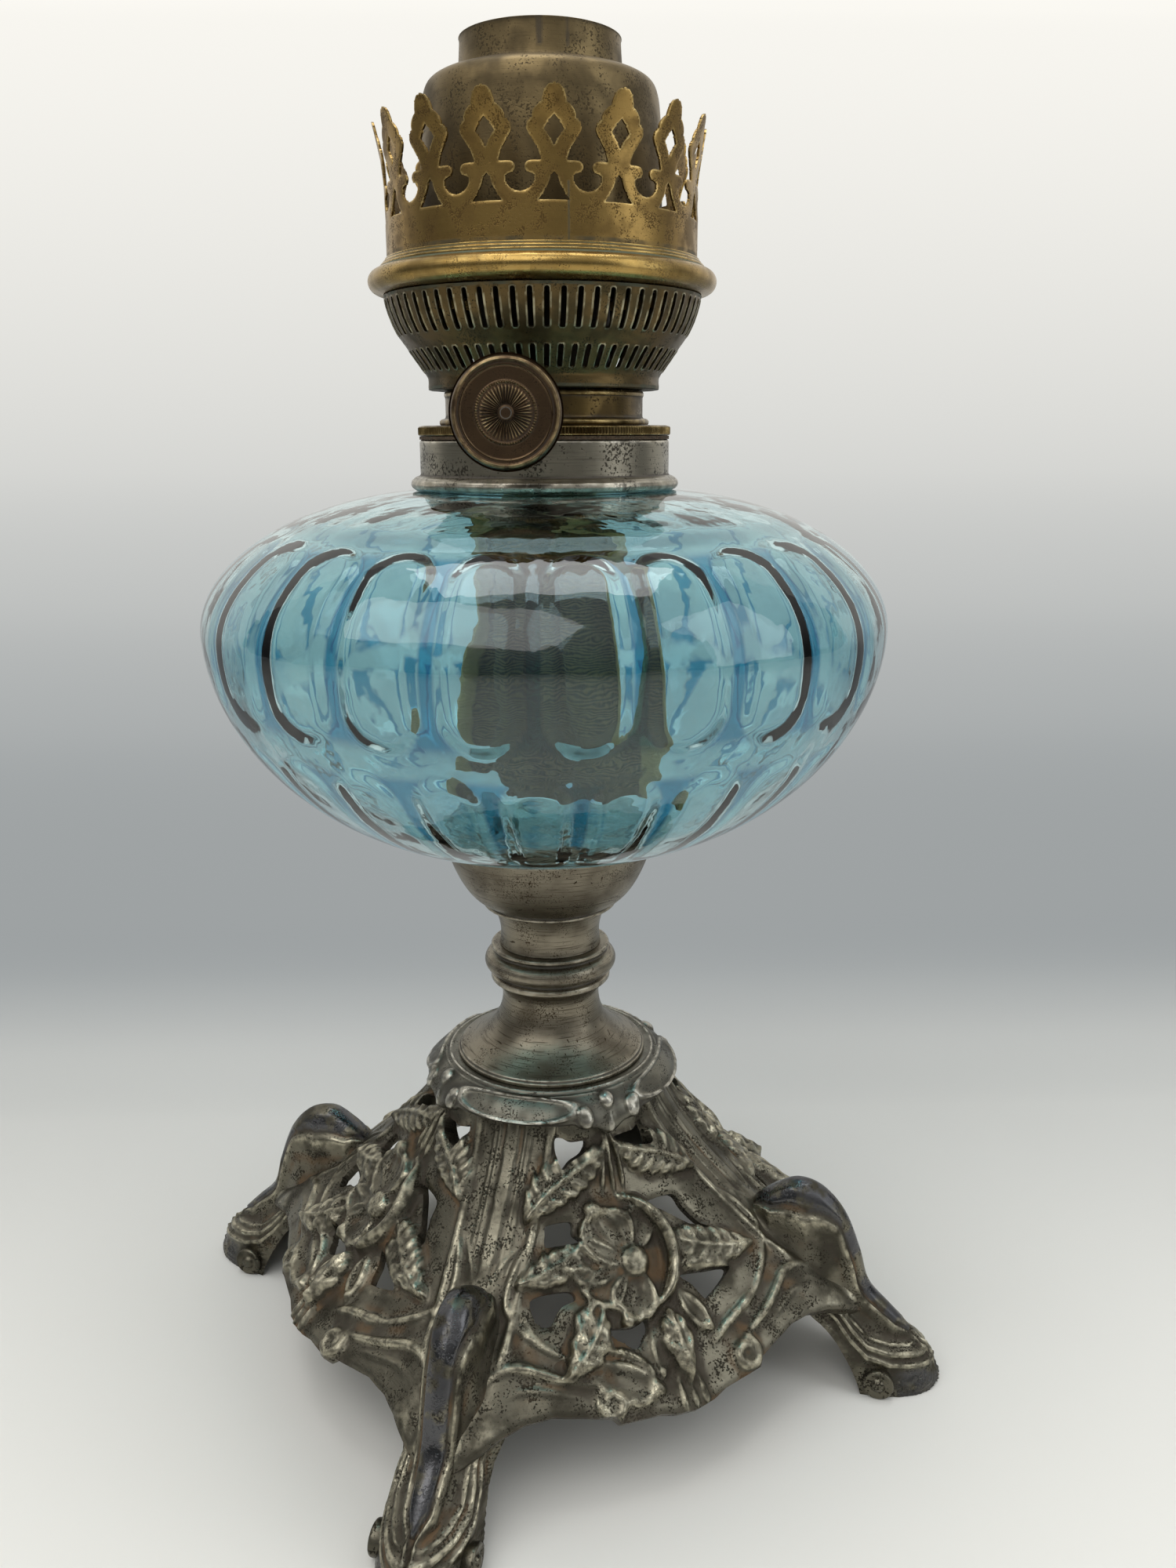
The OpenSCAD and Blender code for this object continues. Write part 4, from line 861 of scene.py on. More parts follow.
@dataclass
class FootCasting:
    """The pierced foot: a wall with four ornamented faces, and four hollow legs."""

    height: float = 76.5
    top_radius: float = 29.5
    lip_reach: float = 73.5
    lip_height: float = 23.5
    wall: float = 2.4
    face_length: float = 69.0
    columns: int = 220
    rows: int = 136

    leg_ridge = [(56.2, 45.2), (64.5, 51.2), (69.5, 53.2), (75.5, 51.2), (81, 45), (85, 35), (88, 25.5), (95.3, 18),
                 (104, 9), (107.8, 3), (107.8, 0)]
    leg_edge = [(56.2, 40), (62, 36), (66, 31.5), (70, 27), (73.5, 23.5), (76, 20.8), (78.7, 17.5), (81.2, 13.5),
                (84, 8), (86, 3.2), (87, 0)]
    leg_half = [7, 9.5, 11.5, 13, 13.5, 12.5, 11.5, 11.2, 11.6, 12, 12]
    leg_toe = [1, 0.3, 0, 0, 0, 0, 0.15, 0.5, 0.85, 1, 1]
    holes = [
        [(-13.8, 4.5), (-12, 3.8), (-10, 5), (-6, 5.4), (-7.5, 8), (-11, 9.5), (-14, 11.2)],
        [(2, 6), (8, 5.8), (11, 4.5), (11.5, 10.4), (8, 10), (4.4, 8.4)],
        [(-21, 24), (-15.2, 24), (-15.6, 27), (-14.4, 29), (-20, 29), (-23, 28.8), (-22.2, 26)],
        [(5.8, 24.5), (14, 24.8), (16, 29), (18.4, 33), (20.4, 35.6), (17, 33.8), (9.4, 27.2)],
        [(-30.3, 40), (-26, 39), (-20.6, 39.5), (-20, 41.5), (-24, 42.5), (-27.6, 45.8), (-30.3, 45.5), (-31, 43)],
        [(8.4, 43.5), (16, 44.7), (22.2, 46.5), (14.2, 50.3), (12.4, 50), (10.8, 46.6)],
        [(-15.2, 49.6), (-8, 51), (-4.8, 50), (-4.8, 52.6), (-9, 55.6), (-12, 53.5)],
    ]
    lip = [(0, 71.6), (5, 71), (9, 69.8), (15, 69.2), (19.5, 68.8), (21, 67.2), (28, 65.4), (36, 63.8), (43, 64.4),
           (48, 66.5), (52, 69.5), (56, 73), (60, 76)]

    def share(self, down: np.ndarray) -> np.ndarray:
        """How far down the sweep of the wall a place is."""
        return (np.maximum(down, 0) / self.face_length) ** 0.9

    def middle(self, t: np.ndarray) -> np.ndarray:
        """How far a face's middle stands from the axis."""
        return self.top_radius + (self.lip_reach - self.top_radius) * t**1.43

    def corner(self, t: np.ndarray) -> np.ndarray:
        """How far a corner of the wall stands from the axis."""
        reach = self.lip_reach * 84 / 73.5
        return self.top_radius + 0.5 + (reach - self.top_radius - 0.5) * t**1.34

    def on_face(self, right: np.ndarray, down: np.ndarray, out: np.ndarray) -> np.ndarray:
        """Finds points on the face that looks along -Y.

        Args:
            right: Distances to the right of the face's middle.
            down: Distances below the casting's top, along the surface.
            out: Heights above the surface.

        Returns:
            The points.
        """
        t = self.share(down)
        s = self.middle(t)
        p = 1 / (0.5 + np.log(s / self.corner(t)) / np.log(2))
        y = np.maximum(s**p - np.abs(right) ** p, 0.001) ** (1 / p)
        fall = self.height - self.lip_height
        plan = np.stack([np.sign(right) * np.abs(right) ** (p - 1), -(y ** (p - 1))], -1)
        plan /= np.linalg.norm(plan, axis=-1, keepdims=True)
        rise = (self.lip_reach - self.top_radius) * 1.43 * np.maximum(t, 0.01) ** 0.43
        normal = np.stack([plan[..., 0] * fall, plan[..., 1] * fall, rise + 0 * y], -1)
        normal /= np.linalg.norm(normal, axis=-1, keepdims=True)
        return np.stack([right, -y, self.height - fall * t], -1) + normal * np.asarray(out)[..., None]

    def ornament(self, right: np.ndarray, down: np.ndarray, corner: np.ndarray) -> np.ndarray:
        """Models the leaves, the flower and the scrolls of a face.

        Args:
            right: Distances to the right of the face's middle.
            down: Distances below the top.
            corner: Distances from the plane through the nearest corner.

        Returns:
            The height at each place.
        """
        m = Motif(right, down, np.zeros_like(right))
        self.corner_bands(m, corner)
        self.scrolls(m)
        self.foliage(m)
        self.flower(m)
        return m.height

    def corner_bands(self, m: Motif, corner: np.ndarray) -> None:
        """Lays the flat band, the reeds and the beads along each corner, and the skirt where a leg begins."""
        reeds = 0.35 + 0.3 * np.cos((corner - 3.4) * 2 * np.pi / 1.5)
        bands = np.where(corner < 1.8, 0.75, np.where((corner > 2.3) & (corner < 4.9), reeds, 0.0))
        bead = 1.1 * np.sqrt(np.clip(1 - ((corner - 9.3) / 1.25) ** 2, 0, 1))
        fade = ease((56 - m.down) / 8)
        m.lay(np.maximum(bands, bead) * fade)
        stipple = 0.13 * np.sin(m.right * 6.1) * np.sin(m.down * 5.7 + np.sin(m.right * 1.3))
        m.height = m.height + stipple * (m.height < 0.1) + 0.25
        m.height = m.height + 1.6 * ease((17 - corner) / 9) * ease((m.down - 44) / 12) * ease((74 - m.down) / 10)

    def scrolls(self, m: Motif) -> None:
        """Lays the framing lines, the arches over the legs and the small volutes."""
        for side in (-1, 1):
            m.ridge([(side * 24, 25), (side * 31, 33), (side * 36, 41), (side * 35, 46), (side * 30, 51), (side * 22, 57)],
                    1.7, 1.5, (0.5, 0.5))
            m.ridge([(side * 27, 27), (side * 35, 34), (side * 40, 41), (side * 40, 48), (side * 36, 53)], 1.1, 1.0, (0.4, 0.3))
            m.ridge([(side * 18, 62), (side * 29, 57.5), (side * 38, 53.5), (side * 45, 56), (side * 52, 63), (side * 57, 70)],
                    2.4, 2.2, (0.5, 1.0))
            m.ridge([(side * 24, 62.5), (side * 33, 59.2), (side * 40, 58.3), (side * 47, 62), (side * 52, 67)], 1.4, 1.1, (0.4, 0.6))
        m.volute((-20, 64.5), 3.6, 2.2, -1)
        m.volute((17.5, 65), 3.8, 2.4, 1)
        m.ridge([(-31, 36), (-33.5, 42), (-31, 50), (-24, 54.5), (-15, 57)], 1.4, 1.2)

    def foliage(self, m: Motif) -> None:
        """Lays the leaf fan under the drip, the side leaves, the bud and the shell."""
        m.leaf((-2, 7), (-20, 16), 9, 2.0, 1.0, 6)
        m.leaf((-3, 9), (-26, 23.5), 12, 2.5, -2.0, 7)
        m.leaf((1, 7), (16, 13.5), 9, 2.0, -1.0, 5)
        m.leaf((2, 9), (22, 21.5), 13, 2.5, 1.5, 7)
        m.ridge([(-1, 3), (-3, 11), (-5.5, 20)], 1.5, 1.9)
        m.ridge([(-0.5, 3), (-1.5, 12), (-2, 21)], 1.5, 2.1)
        m.ridge([(0.3, 3), (1.2, 12), (0.5, 21)], 1.4, 1.9)
        m.leaf((-15, 30), (-33, 37), 9, 2.3, 0.8, 5)
        m.leaf((-14, 36), (-26, 33), 6, 2.0, 0.0, 4)
        m.leaf((8, 34), (32, 44), 11, 2.4, -1.2, 7)
        m.leaf((9, 41), (23, 47), 5, 1.6, 0.6, 4)
        m.leaf((-15, 46), (-29, 57.5), 10.5, 3.0, 1.0, 4, 0.5)
        m.leaf((-17, 44), (-24, 50), 6, 2.4, 0.0, 3)
        m.petal((6, 46), (11, 57), 6, 2.8, -0.6)
        m.petal((-4, 52), (-6, 63), 5, 2.6, 0.8)
        m.leaf((1, 50), (0.5, 66), 9.5, 3.7, 0.0, 3, 0.4)
        for shift in (-2.6, 0, 2.6):
            m.ridge([(shift * 0.5, 60), (shift, 66), (shift * 1.1, 71.5)], 1.7, 1.9, (0.4, 0.8))
        m.petal((-24, 55), (-7.5, 65), 9.5, 2.5, -1.2)
        m.ridge([(-23, 54), (-14, 55), (-8.5, 60), (-7, 66)], 1.5, 2.5)
        m.ridge([(8, 62), (14, 58), (22, 55), (29, 52)], 2.0, 1.7)

    def flower(self, m: Motif) -> None:
        """Lays the open flower with its rolled front petal."""
        m.petal((-4, 37), (-9.5, 22.5), 16, 2.9, 0.5)
        m.petal((-5, 37), (-21, 33.5), 12, 2.5, -0.6)
        m.petal((-5, 38), (-17.5, 44), 10, 2.5, -0.4)
        m.petal((-3, 38), (-9.5, 49.5), 13, 2.7, 0.8)
        m.petal((-2, 36), (3.5, 24.5), 10, 2.2, 0.4)
        m.ridge([(-19, 37), (-17, 42), (-12, 45.5), (-5, 47.5)], 1.5, 2.7)
        m.boss((-3, 37), 4.3, 3.7, 12)
        m.ridge([(-1.5, 21), (2.5, 23), (6, 28.5), (7.6, 35), (6.4, 41), (3, 46), (-2.5, 49)], 4.0, 5.0, (0.35, 0.45))

    def wall_shape(self) -> Shape:
        """Makes the pierced wall of the four faces as one closed shape."""
        v = np.linspace(0, 1, self.rows)[:, None]
        u = np.linspace(-1, 1, self.columns + 1)[None, :-1]
        lip_line = np.array(self.lip, float)
        reach = self.lip_reach * 84 / 73.5 / math.sqrt(2)
        down = v * np.interp(np.abs(u) * reach, lip_line[:, 0], lip_line[:, 1])
        right = u * self.corner(self.share(down)) / math.sqrt(2)
        cell = 0.6
        gap = np.full(right.shape, 1e9)
        for hole in self.holes:
            far, near_r, near_d = outline_distance(right, down, smooth_path(hole, 4, True))
            snap = np.abs(far) < 0.55 * cell
            right, down = np.where(snap, near_r, right), np.where(snap, near_d, down)
            gap = np.minimum(gap, np.where(snap, 0.0, far))
        face = self.on_face(right, down, 0 * right)
        corner = (np.abs(face[..., 1]) - np.abs(right)) / math.sqrt(2)
        height = self.ornament(right, down, corner)
        edge = np.minimum(gap, (1 - v) * 70)
        height = height - 0.7 * np.exp(-np.maximum(edge, 0) / 0.5)
        height = np.concatenate([height] * 4, 1)
        height = blurred(height, 1)
        relief = np.clip((height - blurred(height, 4)) / 0.7, -1, 1)
        cells = grid_faces(self.rows, 4 * self.columns, False, True)
        whole_gap = np.concatenate([gap] * 4, 1).ravel()
        solid = whole_gap[cells].mean(1) > 0
        sides = []
        for thick in (None, -self.wall):
            skin = []
            for k in range(4):
                part = height[:, k * self.columns:(k + 1) * self.columns]
                out = part if thick is None else 0 * part + thick
                q = self.on_face(right, down, out)
                c, s = math.cos(k * math.pi / 2), math.sin(k * math.pi / 2)
                skin.append(np.stack([q[..., 0] * c - q[..., 1] * s, q[..., 0] * s + q[..., 1] * c, q[..., 2]], -1))
            sides.append(np.concatenate(skin, 1).reshape(-1, 3))
        return with_back(sides[0], sides[1], cells[solid][:, ::-1], relief.ravel())

    def leg_shape(self, angle: float) -> Shape:
        """Makes one hollow leg: a narrow nose over hollowed flanks, a band round the toe and a plain front wall.

        Args:
            angle: The direction in which it stands, in radians.

        Returns:
            The leg's closed shape.
        """
        steps, half_cols = 14, 48
        ridge_line = smooth_path(self.leg_ridge, steps)
        edge_line = smooth_path(self.leg_edge, steps)
        station = np.linspace(0, len(self.leg_ridge) - 1, len(ridge_line))[:, None]
        half = np.interp(station, range(len(self.leg_half)), self.leg_half)
        toe = np.interp(station, range(len(self.leg_toe)), self.leg_toe)
        x = np.linspace(-1, 1, 2 * half_cols + 1)[None, :]
        x = np.sign(x) * np.abs(x) ** 0.9
        inward = edge_line - ridge_line
        depth = np.linalg.norm(inward, axis=1, keepdims=True)

        def sunk(share: np.ndarray) -> np.ndarray:
            """How far towards the side edge the skin lies at shares of the half width."""
            flank = np.interp(np.abs(share), [0, 0.24, 0.4, 0.55, 0.72, 0.88, 1], [0, 0.05, 0.22, 0.48, 0.77, 0.92, 1])
            flat = 1 - np.sqrt(np.clip(1 - np.abs(share) ** 2.2, 0, 1))
            return flank * (1 - toe) + flat * toe

        skin = np.stack([ridge_line[:, None, k] + inward[:, None, k] * sunk(x) for k in (0, 1)], -1)
        skin = np.concatenate([skin, (half * x)[..., None]], -1)
        for k in (0, 1):
            skin[..., k] = blurred(np.concatenate([skin[..., k], skin[:, ::-1, k]], 1), 1)[:, :skin.shape[1]]
        lift, polish = self.leg_relief(skin)
        down_row, down_col = np.gradient(skin, axis=0), np.gradient(skin, axis=1)
        out = np.cross(down_row, down_col)
        out /= np.maximum(np.linalg.norm(out, axis=-1, keepdims=True), 1e-9)
        out *= np.sign((out[..., :1] * 0.7 + out[..., 1:2] * 0.7).mean())
        outer = skin + out * lift[..., None]
        share_in = x * (1 - self.wall / half)
        open_share = ease((station - 3.6) / 0.8)
        deep = np.minimum(sunk(share_in) + (self.wall + 0.6) / depth, 1)
        deep = 1 + (deep - 1) * open_share
        inner = np.stack([ridge_line[:, None, k] + inward[:, None, k] * deep for k in (0, 1)], -1)
        inner = np.concatenate([inner, (half * share_in)[..., None]], -1)
        loop = np.concatenate([outer, inner[:, ::-1]], 1)
        rows, cols = loop.shape[:2]
        relief = np.zeros((rows, cols))
        relief[:, :cols // 2] = np.clip((lift - blurred(np.concatenate([lift, lift[:, ::-1]], 1), 3)[:, :cols // 2]) * 2.2, -1, 1)
        shine = np.zeros((rows, cols))
        shine[:, :cols // 2] = polish
        c, w = math.cos(angle), math.sin(angle)
        points = np.stack([loop[..., 0] * c - loop[..., 2] * w, loop[..., 0] * w + loop[..., 2] * c,
                           np.maximum(loop[..., 1], 0)], -1).reshape(-1, 3)
        faces = grid_faces(rows, cols, False, True)[:, ::-1].tolist()
        for first in (0, (rows - 1) * cols):
            ends = [[first + j, first + j + 1, first + cols - 2 - j, first + cols - 1 - j] for j in range(cols // 2 - 1)]
            faces += [e[::-1] for e in ends] if first else ends
        return Shape(points, faces, relief.ravel(), shine.ravel())

    def leg_relief(self, skin: np.ndarray) -> tuple[np.ndarray, np.ndarray]:
        """Models what stands out on a leg.

        Args:
            skin: The leg's plain surface, as reach, height and distance across.

        Returns:
            How far each place stands out, and how polished it is.
        """
        reach, level, across = skin[..., 0], skin[..., 1], np.abs(skin[..., 2])
        nose = np.interp(reach, [57, 62, 72, 80, 88, 96, 100], [2.0, 4.2, 4.8, 3.2, 2.9, 2.3, 0.1])
        nose = np.where(reach > 100, 0.0, nose)
        off_nose = across - nose
        band_z = np.interp(reach, [66, 71, 74.1, 77.7, 81.3, 85, 89.5, 95, 103, 106], [33, 30, 29.2, 25.5, 21.2, 16.9, 12.8, 10.8, 9.5, 9])
        off_band = (level - band_z) * 0.8
        lift = 0.9 * np.sqrt(np.clip(1 - (across / np.maximum(nose, 0.1)) ** 2, 0, 1)) * (nose > 0.2)
        lift = lift + 0.45 * np.exp(-(((off_nose - 0.9) / 0.35) ** 2)) - 0.35 * np.exp(-(((off_nose - 0.1) / 0.4) ** 2))
        spoon = ease((off_nose - 1.4) / 1.5) * ease((off_band - 1.4) / 1.5)
        lift = lift - 0.9 * spoon + 0.4 * np.exp(-(((off_band - 1.6) / 0.35) ** 2)) * ease(off_nose)
        lift = lift + 1.0 * np.exp(-((off_band / 0.6) ** 2)) * ease(off_nose + 0.5)
        lift = lift + 0.8 * np.exp(-(((off_band + 1.7) / 0.5) ** 2))
        below = ease((-2.6 - off_band) / 0.6) * ease((reach - 60) / 4)
        stipple = np.sin(skin[..., 2] * 5.3 + np.sin(reach * 2.1)) * np.sin(level * 5.1 + reach * 2.7)
        lift = lift + below * (0.16 * stipple - 0.25)
        polish = ease((nose - across + 0.4) / 0.8) * (nose > 0.2) + 0.7 * ease((7.5 - level) / 1.5) * ease((reach - 96) / 4)
        return lift * ease((reach - 56) / 4), np.clip(polish, 0, 1)

    def toe_scroll(self, angle: float, hand: int) -> Shape:
        """Makes the scroll at one side of a toe.

        Args:
            angle: The leg's direction, in radians.
            hand: Which side, 1 or -1.

        Returns:
            The scroll's closed shape.
        """
        r = 4.1
        line = [(0.0, -1.5), (r - 0.5, -1.5), (r, 0.4), (r * 0.92, 1.2), (r * 0.7, 1.0), (r * 0.5, 0.9), (r * 0.34, 1.7), (0.0, 2.1)]
        made = spun(smooth_path(line[1:-1], 4), line[0][1], line[-1][1], 48)
        seat = Matrix.Rotation(angle, 4, "Z") @ Matrix.Translation((93.0, hand * 11.3, r)) @ Matrix.Rotation(-hand * math.pi / 2, 4, "X")
        return made.moved(seat)

    def build(self) -> None:
        """Makes the foot and dresses it."""
        legs = [math.radians(45 + 90 * k) for k in range(4)]
        shapes = [self.wall_shape()] + [self.leg_shape(a) for a in legs]
        shapes += [self.toe_scroll(a, hand) for a in legs for hand in (-1, 1)]
        low, high = self.height - 3.0, self.height - 0.05
        plate = turned(filleted([(3.3, low), (28.3, low), (28.3, high), (3.3, high)]), 96)
        add_piece("foot_casting", joined(shapes + [plate]), CAST_METAL, "foot_and_font", ("base_casting",), 50)


@dataclass
class CapRing:
    """The ring between foot and stem, with its drips and its long panels."""

    foot_z: float = 76.5
    height: float = 7.0
    radius: float = 33.6
    bore: float = 21.5
    drip_width: float = 20.0
    drip_drop: float = 4.2
    columns: int = 640

    def build(self) -> None:
        """Makes the ring and dresses it."""
        r, h = self.radius, self.height
        slope = resampled(smooth_path([
            (25.6, h), (27.4, h), (28.3, h - 0.5), (29.2, h - 1.0), (30.6, h - 2.0), (32.0, h - 3.2), (33.1, h - 4.3),
            (r, h - 5.2), (r - 0.1, h - 6.0), (r - 0.8, h - 6.6)], 6), 44)
        angle = np.linspace(0, 2 * np.pi, self.columns, endpoint=False)[None, :]
        length = np.linspace(0, 1, 44)[:, None] * 11.2
        off_face = (angle + np.pi / 4) % (np.pi / 2) - np.pi / 4
        off_leg = angle % (np.pi / 2) - np.pi / 4
        along_face, along_leg = off_face * r, off_leg * r
        lift = 0.5 * np.exp(-(((length - 1.7) / 0.3) ** 2)) + 0.35 * np.exp(-(((length - 3.0) / 0.25) ** 2))
        panel = np.abs(along_leg / 17.0) ** 2.6 + np.abs((length - 6.6) / 3.1) ** 2.6
        lift = lift + 1.0 * np.exp(-(((panel - 1.0) / 0.28) ** 2)) + 0.45 * np.clip(1 - panel, 0, 1) ** 0.5
        hook = np.hypot((np.abs(along_face) - 7.0) / 2.2, (length - 8.2) / 2.2)
        lift = lift + 1.1 * np.sqrt(np.clip(1 - hook**2, 0, 1))
        ball = np.hypot(along_face / 2.3, (length - 5.2) / 2.1)
        lift = lift + 1.5 * np.sqrt(np.clip(1 - ball**2, 0, 1))
        tongue = np.clip(1 - (np.abs(along_face) / (self.drip_width / 2)) ** 2.2, 0, 1)
        wings = 0.5 * np.exp(-(((np.abs(along_face) - 6.5) / 2.0) ** 2))
        lift = lift + (0.7 * np.exp(-((along_face / 1.0) ** 2)) + wings) * ease((length - 6.5) / 3)
        drop = self.drip_drop * tongue * (0.75 + 0.25 * np.cos(along_face * 0.7)) * ease((length - 6.0) / 5.2)
        tangent = np.gradient(slope, axis=0)
        tangent /= np.linalg.norm(tangent, axis=1, keepdims=True)
        out_r, out_z = -tangent[:, 1:] * -1, tangent[:, :1] * -1
        rr = slope[:, :1] + lift * np.abs(out_r) * 0.8
        zz = slope[:, 1:] + lift * np.abs(out_z) * 0.8 - drop
        edge_r, edge_z = rr[-1:], zz[-1:]
        under = [(edge_r - 1.2, edge_z - 0.25), (edge_r - 1.9, edge_z + 0.6), (0 * edge_r + r - 2.9, 0 * edge_z + 0.3),
                 (0 * edge_r + self.bore, 0 * edge_z + 0.02), (0 * edge_r + self.bore, 0 * edge_z + h)]
        rr = np.vstack([rr] + [a for a, _ in under])
        zz = np.vstack([zz] + [b for _, b in under]) + self.foot_z
        points = np.stack([rr * np.cos(angle), rr * np.sin(angle), zz], -1).reshape(-1, 3)
        relief = np.zeros(rr.shape)
        relief[:44] = np.clip((lift - blurred(lift, 5)) * 2.2, -1, 1)
        faces = grid_faces(len(rr), self.columns, True, True)[:, ::-1].tolist()
        add_piece("cap_moulding", Shape(points, faces, relief.ravel()), CAP_METAL, "foot_and_font",
                  ("cap_ring",), 60)


@dataclass
class Stem:
    """The four turned pieces between foot and font."""

    bell_z: float = 83.5
    bell_h: float = 20.5
    knop_h: float = 10.0
    neck_h: float = 11.0
    cup_h: float = 18.5
    wall: float = 1.2

    def shell(self, line: list, z: float) -> np.ndarray:
        """Gives an outer line the sheet's thickness and its place in height.

        Args:
            line: The outer line from its foot up, as radius and height.
            z: The height of its foot.

        Returns:
            The closed profile.
        """
        outer = np.array(line, float)
        along = np.gradient(outer, axis=0)
        along /= np.maximum(np.linalg.norm(along, axis=1, keepdims=True), 1e-6)
        inner = outer + np.stack([-along[:, 1], along[:, 0]], -1) * self.wall
        inner[0], inner[-1] = outer[0] - (self.wall, 0), outer[-1] - (self.wall, 0)
        return filleted(list(map(tuple, np.vstack([outer, inner[::-1]]) + (0, z))), 0.25, 0.6)

    def build(self) -> None:
        """Makes the bell, the knop, the neck and the cup."""
        bell = [(25.3, 0.02), (25.3, 0.9), (24.75, 1.15)] + bend((24.6, 1.6), (12.8, 6.4), (12.9, 16.5), 24)
        bell += [(13.1, 17.6), (13.6, 18.7), (14.4, 19.6), (15.2, self.bell_h)]
        knop_z = self.bell_z + self.bell_h
        neck_z = knop_z + self.knop_h
        cup_z = neck_z + self.neck_h
        neck = bend((13.5, 0.02), (12.1, self.neck_h * 0.46), (15.2, self.neck_h), 16)
        cup = [(15.2, 0.02), (16.9, 0.1), (17.5, 0.4), (17.6, 0.9), (17.3, 1.2)]
        cup += bend((17.4, 1.5), (23.4, 3.9), (27.5, self.cup_h), 20)
        knop = [(3.08, 4.0), (12.6, 4.0), (12.6, 0.02), (15.5, 0.02), (15.9, 0.4), (15.9, 1.4), (15.6, 1.7), (15.0, 2.1), (15.0, 2.6)]
        knop += [(14.9 + 2.6 * math.cos(w), 5.3 + 2.6 * math.sin(w)) for w in np.radians(np.linspace(-75, 75, 15))]
        knop += [(15.0, 8.0), (15.0, 8.5), (15.4, 8.8), (15.7, 9.2), (15.7, 9.7), (15.4, self.knop_h), (12.6, self.knop_h), (12.6, 6.0), (3.08, 6.0)]
        pieces = {
            "stem_bell_shell": (self.shell(bell, self.bell_z), "stem_bell"),
            "stem_knop_turned": (filleted([(r, z + knop_z) for r, z in knop], 0.18, 0.6), "stem_knop"),
            "stem_neck_shell": (self.shell(neck, neck_z), "stem_neck"),
            "font_cup_shell": (self.shell(cup, cup_z), "font_cup"),
        }
        for name, (profile, node) in pieces.items():
            add_piece(name, turned(profile, 160), STEM_PLATE, "foot_and_font", (node,))


# Font


